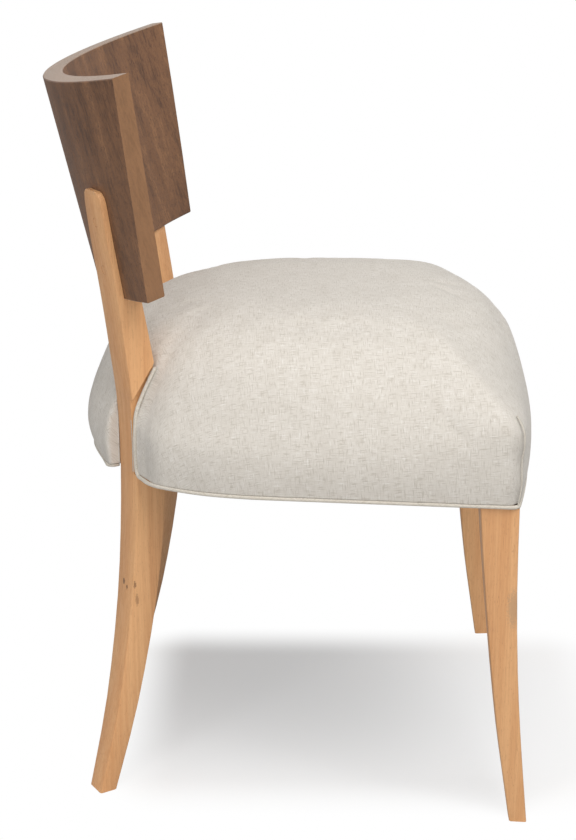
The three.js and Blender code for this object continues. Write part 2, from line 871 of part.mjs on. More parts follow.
// A round cord through the points; its rings keep their turn from one point to the next.
function cordThrough(points, radius) {
  let normal = new THREE.Vector3(1, 0, 0);
  return loft(points.map((point, i) => {
    const before = points[Math.max(i - 1, 0)];
    const after = points[Math.min(i + 1, points.length - 1)];
    const along = after.clone().sub(before).normalize();
    normal = normal.clone().addScaledVector(along, -normal.dot(along)).normalize();
    const side = along.clone().cross(normal);
    return Array.from({ length: weltSides }, (_, k) => {
      const angle = 360 * degrees * k / weltSides;
      return point.clone()
        .addScaledVector(normal, radius * Math.cos(angle))
        .addScaledVector(side, radius * Math.sin(angle));
    });
  }));
}

const weltLine = halfOutline(weltRadius, 3 * rearOutlineSteps).map((point) => (
  new THREE.Vector3(point.x, point.y, seatEdgeHeight)
));

function inwardOf(point) {
  return -(point.x - boardX) * boardOut.x - (point.y - boardY) * boardOut.y;
}

const weltSeat = housingDepth - fitGap - weltRadius;
const weltBend = 6 * weltRadius;
const housedRear = rearEdgeAt(seatShoulderHeight).back - weltRadius;
const weltRise = [
  boardPoint(weltSeat - 3.4 * weltRadius, housedRear + weltRadius / 2, seatEdgeHeight + weltRadius / 4),
  boardPoint(weltSeat - weltRadius / 2, housedRear, seatEdgeHeight + weltBend / 2),
  boardPoint(weltSeat, housedRear, seatEdgeHeight + weltBend),
  boardPoint(weltSeat, housedRear, (seatEdgeHeight + housingRearHeight) / 2 + weltBend / 2),
  boardPoint(weltSeat, housedRear, housingRearHeight - weltRadius),
];
const frontWeltHalf = [
  ...weltLine.filter((point) => point.y < boardY + rearFootSweep / 2 && inwardOf(point) < -4 * weltRadius),
  ...weltRise,
];
const frontWelt = cordThrough([
  ...frontWeltHalf.slice(1).reverse().map((point) => new THREE.Vector3(-point.x, point.y, point.z)),
  ...frontWeltHalf,
], weltRadius);
const weltCutter = solid(cordThrough(
  frontWeltHalf.slice(-weltRise.length - 1),
  weltRadius + 0.8 * fitGap,
));
const rearWeltHalf = weltLine.filter((point) => (
  point.y > boardY && inwardOf(point) > housedWidth + fitGap
));
const rearWelt = cordThrough([
  ...rearWeltHalf,
  ...rearWeltHalf.slice(0, -1).reverse().map((point) => new THREE.Vector3(-point.x, point.y, point.z)),
], weltRadius);

// Cloths and foam

const platformBottom = webbingLevel + webbingHalf + webbingThickness / 2 + fitGap;
const platformTop = platformBottom + clothThickness;

// A plate that keeps its own inset behind the rear legs, where the frame lies further in.
function framePlate(sideInset, rearInset, bottom, top) {
  const front = box(-frameReach, frameReach, -frameReach, boardY + housingRearReach, bottom, top);
  return solid(plate(insetOutline(sideInset), bottom, top))
    .intersect(front)
    .add(solid(plate(insetOutline(rearInset), bottom, top)));
}

const platformCloth = without(
  framePlate(platformInset, rearRailInset + fitGap, platformBottom, platformTop),
  rearCutters,
);

// Room for the frame and for all that lies on it
const framePocket = framePlate(frameInset - fitGap, rearRailInset - fitGap, 0, railTop + fitGap)
  .add(framePlate(platformInset - fitGap, rearRailInset - fitGap, railBottom, platformTop + fitGap));

// What a rear leg takes out of the seat: its own section and all behind it, but not the filled housing.
// The wall is kept free round it for the cover that turns in along the leg.
function seatSlots(wall) {
  const channelFront = housingRearReach - weltChannel - wall;
  const channelRear = housingRearReach + overrun;
  const filling = solid(boardPrism(
    housingOutline(housingRearReach - 4 * fitGap - wall, wall),
    -overrun / 2,
    housingDepth - fitGap - wall,
  ));
  const channel = solid(boardPrism([
    [channelFront, seatEdgeHeight],
    [channelRear, seatEdgeHeight],
    [channelRear, housingFrontHeight],
    [channelFront, housingFrontHeight],
  ], housingDepth - fitGap - weltChannel - wall, housingDepth));
  const slot = solid(rearLegSkin(1.1 * fitGap + wall, overrun)).subtract(filling).add(channel).add(weltCutter);
  return [slot, mirroredBody(slot)];
}

const coverEdgeHeight = seatEdgeHeight + weltRadius + fitGap;
const coverOuter = solid(seatSkin(0, coverEdgeHeight, 0));
const coverInner = solid(seatSkin(coverThickness, coverEdgeHeight, overrun));
const seatCover = without(
  without(coverOuter, seatSlots(0)).subtract(without(coverInner, seatSlots(coverThickness))),
  [framePocket],
);
const foamBody = solid(seatSkin(coverThickness + fitGap, coverEdgeHeight + fitGap, 0));
const seatFoam = without(foamBody.subtract(framePocket), seatSlots(coverThickness + fitGap));

const dustCoverTop = railBottom - fitGap;
const weltRoom = withinBoard(
  -5 * weltRadius,
  housingDepth,
  housingRearReach - 3 * weltChannel,
  housingRearReach + overrun,
);
const dustCover = without(
  solid(plate(insetOutline(dustCoverInset), dustCoverTop - clothThickness, dustCoverTop)),
  [...rearCutters, ...frontCutters, weltRoom, mirroredBody(weltRoom)],
);

// Scene graph

const chair = new THREE.Group();

function addPiece(name, geometry, finish) {
  const [color, roughness] = finishes[finish];
  const metalness = finish === 'steel' ? 1 : 0;
  const mesh = new THREE.Mesh(clean(geometry), new THREE.MeshStandardMaterial({ color, roughness, metalness }));
  mesh.name = name;
  chair.add(mesh);
}

function addPair(name, body, finish) {
  const geometry = geometryOf(body);
  addPiece(`${name}_left`, geometry, finish);
  addPiece(`${name}_right`, mirrored(geometry), finish);
}

addPiece('back_panel', geometryOf(backPanel), 'walnut');
addPair('rear_leg', rearLegLeft, 'beech');
addPair('front_leg', frontLegLeft, 'beech');
addPiece('front_rail', geometryOf(frontRail), 'innerBeech');
addPiece('rear_rail', geometryOf(rearRail), 'innerBeech');
addPair('side_rail', sideRailLeft, 'innerBeech');
addPair('front_block', frontBlockLeft, 'innerBeech');
addPair('rear_block', rearBlockLeft, 'innerBeech');
const screwNames = ['front_upper', 'front_lower', 'rear_upper', 'rear_lower'];
blockScrewBodies.forEach((body, i) => addPair(`block_screw_${screwNames[i]}`, body, 'steel'));
lengthwise.forEach((body, i) => addPiece(`webbing_lengthwise_${i + 1}`, geometryOf(body), 'jute'));
crosswise.forEach((body, i) => addPiece(`webbing_crosswise_${i + 1}`, geometryOf(body), 'jute'));
addPiece('platform_cloth', geometryOf(platformCloth), 'jute');
addPiece('seat_foam', geometryOf(seatFoam), 'foam');
addPiece('seat_cover', geometryOf(seatCover), 'linen');
addPiece('front_welt', frontWelt, 'linen');
addPiece('rear_welt', rearWelt, 'linen');
addPiece('dust_cover', geometryOf(dustCover), 'blackCloth');
panelFixings.forEach(({ face, inward }, i) => {
  const level = ['lower', 'upper'][i];
  const screwStart = face.clone().addScaledVector(inward, panelScrewStart);
  addPair(`panel_screw_${level}`, solid(screw(screwStart, inward, panelScrewSize)), 'steel');
  const plugStart = face.clone().addScaledVector(inward, fitGap / 3);
  addPair(`screw_plug_${level}`, solid(rod(plugStart, inward, plugDepth, plugRadius, 12)), 'beech');
});

// The origin lies on the floor under the middle of the chair's reach.
const frontReach = frontYAt(0) + coverEdgeInset - sideBulge;
const rearReach = panelPoint(0, 0, panelThickness).y;
chair.position.y = -(frontReach + rearReach) / 2;
chair.updateMatrixWorld(true);

export default chair;
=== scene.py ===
"""Looks of the klismos dining chair: linen seat, walnut back, beech frame, floor, lamps and camera.

Metres, +Z up. The front of the seat faces -Y and the sitter's left is +X.
"""

import logging
import math
from contextlib import contextmanager
from dataclasses import dataclass, field
from enum import Enum
from typing import Callable, Iterator, Sequence

import bmesh
import bpy
import numpy as np
from mathutils import Matrix, Vector
from mathutils.bvhtree import BVHTree


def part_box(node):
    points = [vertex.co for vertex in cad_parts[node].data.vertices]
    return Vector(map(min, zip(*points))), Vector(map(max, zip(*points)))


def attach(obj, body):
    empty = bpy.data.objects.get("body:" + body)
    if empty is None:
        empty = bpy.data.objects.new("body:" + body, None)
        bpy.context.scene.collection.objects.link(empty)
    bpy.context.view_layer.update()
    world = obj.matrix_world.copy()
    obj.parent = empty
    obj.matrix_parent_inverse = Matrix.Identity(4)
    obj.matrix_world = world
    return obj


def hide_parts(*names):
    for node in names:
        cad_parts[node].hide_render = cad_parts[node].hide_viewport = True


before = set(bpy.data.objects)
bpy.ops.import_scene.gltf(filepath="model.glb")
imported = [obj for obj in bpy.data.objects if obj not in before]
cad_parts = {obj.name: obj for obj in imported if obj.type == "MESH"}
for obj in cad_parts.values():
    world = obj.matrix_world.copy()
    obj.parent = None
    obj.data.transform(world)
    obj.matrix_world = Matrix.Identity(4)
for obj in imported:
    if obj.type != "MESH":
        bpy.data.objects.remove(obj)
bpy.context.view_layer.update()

log = logging.getLogger("chair")

BODY = "root"

Colour = tuple[float, float, float, float]
Socket = bpy.types.NodeSocket
NEVER_NEAR = 1.0
GENTLE_ANGLE = math.radians(26)


def paint(red: int, green: int, blue: int) -> Colour:
    """Linear colour of a screen colour given as three values from 0 to 255."""
    channels = np.array((red, green, blue)) / 255
    linear = np.where(channels <= 0.04045, channels / 12.92, ((channels + 0.055) / 1.055) ** 2.4)
    return (*(float(c) for c in linear), 1.0)


# Meshes


def add_object(name: str, data: bpy.types.ID) -> bpy.types.Object:
    """A new object that shows the data, linked to the scene."""
    thing = bpy.data.objects.new(name, data)
    bpy.context.scene.collection.objects.link(thing)
    return thing


def mesh_object(name: str, points: np.ndarray, faces: Sequence[Sequence[int]]) -> bpy.types.Object:
    """Makes a smooth-shaded mesh piece from points and faces.

    Args:
        name: the piece's name.
        points: an array of shape (n, 3), in metres.
        faces: vertex indices of each face, counterclockwise from outside.

    Returns:
        The new object, linked to the scene.
    """
    mesh = bpy.data.meshes.new(name)
    mesh.from_pydata(points.tolist(), [], faces)
    mesh.shade_smooth()
    mesh.update()
    return add_object(name, mesh)


def ring_faces(rings: int, sides: int) -> np.ndarray:
    """Quads between closed rings: face (i, j) joins points j and j + 1 of rings i and i + 1."""
    ring, side = np.meshgrid(np.arange(rings - 1), np.arange(sides), indexing="ij")
    beside = (side + 1) % sides
    low, high = ring * sides, (ring + 1) * sides
    corners = (low + side, low + beside, high + beside, high + side)
    return np.stack(corners, axis=-1).reshape(-1, 4)


def capped_rings(rings: np.ndarray) -> tuple[np.ndarray, list[list[int]]]:
    """Closes a stack of rings with a fan at each end.

    Args:
        rings: an array of shape (rings, sides, 3), counterclockwise from above, lowest first.

    Returns:
        The points and the faces of the closed form.
    """
    count, sides = rings.shape[:2]
    low, high = rings[0].mean(axis=0), rings[-1].mean(axis=0)
    points = np.concatenate([rings.reshape(-1, 3), [low, high]])
    here = np.arange(sides)
    beside = (here + 1) % sides
    last = (count - 1) * sides
    under = np.stack([np.full(sides, count * sides), beside, here], axis=1)
    over = np.stack([np.full(sides, count * sides + 1), last + here, last + beside], axis=1)
    return points, [*ring_faces(count, sides).tolist(), *under.tolist(), *over.tolist()]


def coordinates(mesh: bpy.types.Mesh) -> np.ndarray:
    """The mesh's vertices as an array of shape (n, 3)."""
    flat = np.zeros(len(mesh.vertices) * 3, np.float32)
    mesh.vertices.foreach_get("co", flat)
    return flat.reshape(-1, 3).astype(float)


def vertex_normals(mesh: bpy.types.Mesh) -> np.ndarray:
    """The mesh's vertex normals as an array of shape (n, 3)."""
    flat = np.zeros(len(mesh.vertices) * 3, np.float32)
    mesh.vertices.foreach_get("normal", flat)
    return flat.reshape(-1, 3)


def set_coordinates(mesh: bpy.types.Mesh, points: np.ndarray) -> None:
    """Writes an array of shape (n, 3) into the mesh's vertices."""
    mesh.vertices.foreach_set("co", points.astype(np.float32).ravel())
    mesh.update()


def merged_copy(node: str, name: str, grow: float = 0.0) -> bpy.types.Object:
    """A copy of a frame node with its loose triangles joined.

    Args:
        node: the frame node's name.
        name: the copy's name.
        grow: how far each vertex moves outwards along its normal, in metres.

    Returns:
        The new object, linked to the scene.
    """
    shape = bmesh.new()
    shape.from_mesh(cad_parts[node].data)
    bmesh.ops.remove_doubles(shape, verts=shape.verts, dist=1e-6)
    bmesh.ops.recalc_face_normals(shape, faces=shape.faces)
    if grow:
        shape.normal_update()
        moves = [vertex.normal * grow for vertex in shape.verts]
        for vertex, move in zip(shape.verts, moves):
            vertex.co += move
    mesh = bpy.data.meshes.new(name)
    shape.to_mesh(mesh)
    shape.free()
    return add_object(name, mesh)


def search_tree(mesh: bpy.types.Mesh) -> BVHTree:
    """A search tree of a mesh's surface."""
    return BVHTree.FromPolygons([v.co for v in mesh.vertices], [p.vertices for p in mesh.polygons])


def node_tree(node: str) -> BVHTree:
    """A search tree of a frame node's surface."""
    return search_tree(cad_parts[node].data)


@contextmanager
def edited(piece: bpy.types.Object) -> Iterator[bmesh.types.BMesh]:
    """Opens a piece's mesh for editing and writes it back at the end of the block."""
    shape = bmesh.new()
    shape.from_mesh(piece.data)
    yield shape
    shape.to_mesh(piece.data)
    shape.free()


def turn_outwards(piece: bpy.types.Object) -> None:
    """Turns the faces of a closed piece so that their normals point outwards."""
    with edited(piece) as shape:
        bmesh.ops.recalc_face_normals(shape, faces=shape.faces)


def keep_above(shape: bmesh.types.BMesh, place: Vector, normal: Vector) -> list:
    """Cuts away what lies behind a plane and gives the elements on the cut."""
    everything = [*shape.verts, *shape.edges, *shape.faces]
    cut = bmesh.ops.bisect_plane(
        shape, geom=everything, plane_co=place, plane_no=normal, clear_inner=True
    )
    return cut["geom_cut"]


def thicken(piece: bpy.types.Object, thickness: float, offset: float) -> None:
    """Gives a thin piece its cloth's thickness: inwards with offset -1, both ways with 0."""
    wall = piece.modifiers.new("cloth_thickness", "SOLIDIFY")
    wall.thickness = thickness
    wall.offset = offset
    settle(piece)


def settle(piece: bpy.types.Object) -> None:
    """Replaces the piece's mesh by the result of its modifiers."""
    graph = bpy.context.evaluated_depsgraph_get()
    graph.update()
    finished = bpy.data.meshes.new_from_object(piece.evaluated_get(graph), depsgraph=graph)
    old = piece.data
    piece.modifiers.clear()
    piece.data = finished
    bpy.data.meshes.remove(old)
    piece.data.name = piece.name


def run_length(points: np.ndarray) -> np.ndarray:
    """The length of a line up to each of its points."""
    return np.concatenate([[0], np.cumsum(np.linalg.norm(np.diff(points, axis=0), axis=1))])


def unit(rows: np.ndarray) -> np.ndarray:
    """Each row of an array at length one."""
    return rows / np.linalg.norm(rows, axis=1, keepdims=True)


def curve_through(knots: np.ndarray, count: int) -> np.ndarray:
    """A smooth curve through knots.

    Each span is the cubic p(t) = h00 a + h10 A + h01 b + h11 B, where A and B are the slopes
    at its ends by central differences over chord length.

    Args:
        knots: an array of shape (n, d).
        count: the number of points, evenly spaced along the chords.

    Returns:
        An array of shape (count, d).
    """
    chord = run_length(knots)
    slopes = np.gradient(knots, chord, axis=0)
    where = np.linspace(0, chord[-1], count)
    span = np.clip(np.searchsorted(chord, where, side="right") - 1, 0, len(chord) - 2)
    length = (chord[span + 1] - chord[span])[:, None]
    t = (where - chord[span])[:, None] / length
    a, b = knots[span], knots[span + 1]
    rise_a, rise_b = slopes[span] * length, slopes[span + 1] * length
    return (
        (2 * t**3 - 3 * t**2 + 1) * a
        + (t**3 - 2 * t**2 + t) * rise_a
        + (3 * t**2 - 2 * t**3) * b
        + (t**3 - t**2) * rise_b
    )


def evenly(points: np.ndarray, step: float) -> np.ndarray:
    """The same line with points about one step apart, by linear interpolation over its length."""
    length = run_length(points)
    where = np.linspace(0, length[-1], max(2, round(length[-1] / step) + 1))
    return np.stack([np.interp(where, length, column) for column in points.T], axis=1)


def set_uv(piece: bpy.types.Object, threads: np.ndarray) -> None:
    """Stores a flat place in metres for each vertex as the piece's UV map."""
    mesh = piece.data
    layer = mesh.uv_layers.new(name="threads")
    corner = np.zeros(len(mesh.loops), np.int32)
    mesh.loops.foreach_get("vertex_index", corner)
    layer.data.foreach_set("uv", threads[corner].astype(np.float32).ravel())


def hand_over(piece: bpy.types.Object, material: bpy.types.Material, slot: str, *nodes: str) -> None:
    """Gives a piece its material, lets it ride on the chair and stand for frame nodes."""
    piece.data.materials.clear()
    piece.data.materials.append(material)
    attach(piece, BODY)
    if nodes:
        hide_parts(*nodes)
    log.info("%s: %d faces", piece.name, len(piece.data.polygons))


# Node graphs


class Graph:
    """Adds and links shader nodes with few words."""

    def __init__(self, tree: bpy.types.NodeTree) -> None:
        """Starts on an empty tree."""
        self.tree = tree

    def add(self, kind: str, inputs: dict | None = None, **settings: object) -> bpy.types.Node:
        """Adds a node.

        Args:
            kind: the node type's identifier.
            inputs: values or sockets by input name or index.
            settings: attributes of the node.

        Returns:
            The node.
        """
        node = self.tree.nodes.new(kind)
        for name, value in settings.items():
            setattr(node, name, value)
        self.feed_all(node, inputs or {})
        return node

    def feed(self, target: Socket, value: object) -> None:
        """Links a socket to the target, or sets the target's own value."""
        if isinstance(value, bpy.types.NodeSocket):
            self.tree.links.new(value, target)
        else:
            target.default_value = value

    def feed_all(self, node: bpy.types.Node, values: dict[str | int, object]) -> None:
        """Feeds inputs of a node by their names."""
        for name, value in values.items():
            self.feed(node.inputs[name], value)

    def math(self, operation: str, *values: object) -> Socket:
        """The result of a Math node on sockets and numbers."""
        return self.add("ShaderNodeMath", dict(enumerate(values)), operation=operation).outputs[0]

    def times(self, first: object, second: object) -> Socket:
        """The product of two sockets or numbers."""
        return self.math("MULTIPLY", first, second)

    def plus(self, first: object, second: object) -> Socket:
        """The sum of two sockets or numbers."""
        return self.math("ADD", first, second)

    def line(self, value: object, rise: object, low: object) -> Socket:
        """The value times rise, plus low."""
        return self.math("MULTIPLY_ADD", value, rise, low)

    def vector(self, operation: str, *values: object) -> Socket:
        """The vector result of a Vector Math node."""
        return self.add("ShaderNodeVectorMath", dict(enumerate(values)), operation=operation).outputs[0]

    def split(self, vector: Socket) -> tuple[Socket, Socket, Socket]:
        """The X, Y and Z of a vector."""
        return tuple(self.add("ShaderNodeSeparateXYZ", {0: vector}).outputs)

    def join(self, x: object, y: object, z: object = 0.0) -> Socket:
        """A vector from three sockets or numbers."""
        return self.add("ShaderNodeCombineXYZ", {0: x, 1: y, 2: z}).outputs[0]

    def noise(self, vector: Socket, scale: float, detail: float) -> Socket:
        """Noise from 0 to 1 at a vector."""
        inputs = {"Vector": vector, "Scale": scale, "Detail": detail, "Roughness": 0.5}
        return self.add("ShaderNodeTexNoise", inputs).outputs[0]

    def between(
        self, value: Socket, low: object, high: object, to_low: object = 0.0, to_high: object = 1.0
    ) -> Socket:
        """The value mapped smoothly from low..high to to_low..to_high and held at the ends."""
        inputs = {"Value": value, "From Min": low, "From Max": high, "To Min": to_low, "To Max": to_high}
        return self.add("ShaderNodeMapRange", inputs, interpolation_type="SMOOTHSTEP").outputs[0]

    def blend(self, factor: object, first: object, second: object) -> Socket:
        """Two colours mixed by a factor."""
        node = self.add("ShaderNodeMix", data_type="RGBA", blend_type="MIX")
        self.feed(node.inputs[0], factor)
        self.feed(node.inputs[6], first)
        self.feed(node.inputs[7], second)
        return node.outputs[2]


GroupMaker = Callable[[Graph, bpy.types.Node, bpy.types.Node], None]


def node_group(
    name: str, inputs: dict[str, object], outputs: Sequence[str], make: GroupMaker
) -> bpy.types.NodeTree:
    """A shader node group, built the first time it is asked for.

    Args:
        name: the group's name.
        inputs: the default of each input, a vector where it is a tuple and a number otherwise.
        outputs: the names of the outputs, each a number.
        make: fills the group, given its graph, input node and output node.

    Returns:
        The group's tree.
    """
    known = bpy.data.node_groups.get(name)
    if known:
        return known
    tree = bpy.data.node_groups.new(name, "ShaderNodeTree")
    for label, default in inputs.items():
        kind = "NodeSocketVector" if isinstance(default, tuple) else "NodeSocketFloat"
        tree.interface.new_socket(label, in_out="INPUT", socket_type=kind).default_value = default
    for label in outputs:
        tree.interface.new_socket(label, in_out="OUTPUT", socket_type="NodeSocketFloat")
    graph = Graph(tree)
    make(graph, graph.add("NodeGroupInput"), graph.add("NodeGroupOutput"))
    return tree


def place_group(graph: Graph, tree: bpy.types.NodeTree, inputs: dict[str, object]) -> bpy.types.Node:
    """Places a group in a graph with its inputs."""
    node = graph.add("ShaderNodeGroup", node_tree=tree)
    graph.feed_all(node, inputs)
    return node


def weave_group() -> bpy.types.NodeTree:
    """Plain weave on a flat place in metres.

    With a = u / pitch and b = v / pitch, sin(pi a) sin(pi b) is above zero where a warp thread is on
    top. Each thread is a half sine across and swells where it passes over. Slubs are noise stretched
    along one thread direction, in each direction.
    """

    def fill(graph: Graph, given: bpy.types.Node, made: bpy.types.Node) -> None:
        """Builds the weave's height, its slubs and its tone."""
        pitch = given.outputs["Pitch"]
        place = given.outputs["Vector"]
        wander = graph.add("ShaderNodeTexNoise", {"Vector": place, "Scale": 90.0, "Detail": 1.0}).outputs[1]
        shift = graph.vector("SCALE", graph.vector("SUBTRACT", wander, (0.5, 0.5, 0.5)))
        graph.feed(shift.node.inputs["Scale"], graph.times(pitch, 1.3))
        u, v, _ = graph.split(graph.vector("ADD", place, shift))
        a = graph.times(graph.math("DIVIDE", u, pitch), math.pi)
        b = graph.times(graph.math("DIVIDE", v, pitch), math.pi)
        over = graph.times(graph.math("SINE", a), graph.math("SINE", b))
        warp = graph.math("ABSOLUTE", graph.math("SINE", a))
        weft = graph.math("ABSOLUTE", graph.math("SINE", b))
        warp = graph.times(warp, graph.line(over, 0.4, 0.6))
        weft = graph.times(weft, graph.line(over, -0.4, 0.6))
        threads = graph.math("MAXIMUM", warp, weft)

        def cloud(scale_u: float, scale_v: float, seed: float, detail: float) -> Socket:
            """Noise on the cloth with its own scale along each thread direction."""
            place = graph.join(graph.times(u, scale_u), graph.times(v, scale_v), seed)
            return graph.noise(place, 1.0, detail)

        along_u = cloud(110, 980, 0.0, 2.0)
        along_v = cloud(980, 95, 7.0, 2.0)
        slub_u = graph.between(along_u, 0.52, 0.74)
        slub_v = graph.between(along_v, 0.52, 0.74)
        slub = graph.math("MAXIMUM", slub_u, slub_v)
        pale = graph.between(graph.math("MINIMUM", along_u, along_v), 0.42, 0.24)
        cross = cloud(40, 40, 3.0, 4.0)
        height = graph.plus(threads, graph.times(slub, 0.5))
        gap = graph.between(threads, 0.42, 0.12)
        masks = {"Height": height, "Slub": slub, "Pale": pale, "Mottle": cross, "Gap": gap}
        graph.feed_all(made, masks)

    outputs = ("Height", "Slub", "Pale", "Mottle", "Gap")
    return node_group("linen_weave", {"Vector": (0.0, 0.0, 0.0), "Pitch": 0.0006}, outputs, fill)


# Each mask's name, its marks' width, length, seed and detail, and the noise where it starts and is full
GRAIN_MASKS = (
    ("Streak", (0.0022, 0.25, 1.0, 5.0), (0.32, 0.68)),
    ("Band", (0.019, 0.5, 5.0, 2.0), (0.32, 0.68)),
    ("Pore", (0.0006, 0.016, 11.0, 1.0), (0.54, 0.72)),
    ("Fleck", (0.0008, 0.0045, 17.0, 1.0), (0.63, 0.78)),
)


def grain_group() -> bpy.types.NodeTree:
    """Straight grain on a place in metres whose Y runs along the wood.

    Streak is noise drawn out about forty times along the grain, Band a slower one, Pore short fine
    dashes and Fleck the shorter, sparser dashes of cut rays. Each is a mask from 0 to 1.
    """

    def fill(graph: Graph, given: bpy.types.Node, made: bpy.types.Node) -> None:
        """Builds the grain's masks."""
        across, along, depth = graph.split(given.outputs["Vector"])
        slow = graph.join(graph.times(across, 20), graph.times(along, 5), 2.0)
        wave = graph.noise(slow, 1.0, 1.0)
        bent = graph.line(graph.math("SUBTRACT", wave, 0.5), given.outputs["Waver"], across)

        def drawn(width: float, length: float, seed: float, detail: float) -> Socket:
            """Noise whose marks are about width by length metres."""
            spot = graph.join(
                graph.math("DIVIDE", bent, width),
                graph.math("DIVIDE", along, length),
                graph.plus(graph.math("DIVIDE", depth, width), seed),
            )
            return graph.noise(spot, 1.0, detail)

        for label, marks, (low, high) in GRAIN_MASKS:
            graph.feed(made.inputs[label], graph.between(drawn(*marks), low, high))

    outputs = [label for label, _, _ in GRAIN_MASKS]
    return node_group("straight_grain", {"Vector": (0.0, 0.0, 0.0), "Waver": 0.004}, outputs, fill)


def mark_group() -> bpy.types.NodeTree:
    """A soft oval mark: a mask that falls from 1 at its centre to 0 at its radii, with a ragged rim."""

    def fill(graph: Graph, given: bpy.types.Node, made: bpy.types.Node) -> None:
        """Builds the mask from the distance over the radii, moved by noise."""
        offset = graph.vector("SUBTRACT", given.outputs["Vector"], given.outputs["Centre"])
        scaled = graph.vector("DIVIDE", offset, given.outputs["Radii"])
        far = graph.add("ShaderNodeVectorMath", {0: scaled}, operation="LENGTH").outputs["Value"]
        ragged = graph.noise(given.outputs["Vector"], 700.0, 2.0)
        edge = graph.line(graph.math("SUBTRACT", ragged, 0.5), 1.2, far)
        graph.feed(made.inputs["Mask"], graph.between(edge, 1.0, 0.35))

    inputs = {"Vector": (0.0, 0.0, 0.0), "Centre": (0.0, 0.0, 0.0), "Radii": (0.01, 0.01, 0.01)}
    return node_group("soft_mark", inputs, ("Mask",), fill)


# Finishes


def emptied(block: bpy.types.Material | bpy.types.World) -> Graph:
    """Turns on the nodes of a material or world, takes them all away and gives their graph."""
    block.use_nodes = True
    block.node_tree.nodes.clear()
    return Graph(block.node_tree)


def new_material(name: str) -> tuple[bpy.types.Material, Graph, bpy.types.Node]:
    """A material with only a Principled shader, its graph and that shader."""
    material = bpy.data.materials.new(name)
    graph = emptied(material)
    shader = graph.add("ShaderNodeBsdfPrincipled")
    graph.tree.links.new(shader.outputs[0], graph.add("ShaderNodeOutputMaterial").inputs[0])
    return material, graph, shader


def bump(graph: Graph, shader: bpy.types.Node, height: Socket, depth: float, strength: float = 1.0) -> None:
    """Feeds a height, as a share of depth in metres, to the shader's normal."""
    node = graph.add("ShaderNodeBump", {"Height": height, "Distance": depth, "Strength": strength})
    graph.feed(shader.inputs["Normal"], node.outputs[0])


class Run(Enum):
    """Which way the grain runs in a piece: the places that give across, along and depth."""

    UP = (0, 2, 1)
    SIDEWAYS = (1, 0, 2)
    LENGTHWISE = (0, 1, 2)


@dataclass(frozen=True)
class Mark:
    """A knot or stain on the wood."""

    centre: tuple[float, float, float]
    radii: tuple[float, float, float]
    strength: float
    colour: Colour


@dataclass(frozen=True)
class Beech:
    """Amber beech under a thin satin coat."""

    name: str = "beech"
    run: Run = Run.UP
    pale: Colour = paint(222, 171, 120)
    warm: Colour = paint(203, 146, 96)
    fleck: Colour = paint(152, 100, 58)
    marks: tuple[Mark, ...] = ()

    def material(self) -> bpy.types.Material:
        """Builds the material: pale and warm streaks, fine pores, ray flecks and any marks."""
        material, graph, shader = new_material(self.name)
        place = graph.add("ShaderNodeTexCoord").outputs["Object"]
        parts = graph.split(place)
        across, along, depth = (parts[i] for i in self.run.value)
        run = graph.join(across, along, depth)
        grain = place_group(graph, grain_group(), {"Vector": run, "Waver": 0.006})
        streak, band = grain.outputs["Streak"], grain.outputs["Band"]
        tone = graph.plus(graph.times(streak, 0.45), graph.times(band, 0.5))
        colour = graph.blend(tone, self.pale, self.warm)
        colour = graph.blend(graph.times(grain.outputs["Pore"], 0.22), colour, self.fleck)
        colour = graph.blend(graph.times(grain.outputs["Fleck"], 0.38), colour, self.fleck)
        for mark in self.marks:
            sizes = {"Vector": place, "Centre": mark.centre, "Radii": mark.radii}
            spot = place_group(graph, mark_group(), sizes)
            share = graph.times(spot.outputs[0], mark.strength)
            colour = graph.blend(share, colour, mark.colour)
        rough = graph.line(streak, 0.12, 0.42)
        graph.feed_all(shader, {"Base Color": colour, "Roughness": rough})
        graph.feed_all(shader, {"Coat Weight": 0.12, "Coat Roughness": 0.32})
        relief = graph.math("SUBTRACT", graph.times(streak, 0.4), grain.outputs["Pore"])
        bump(graph, shader, relief, 0.00012, 0.5)
        return material


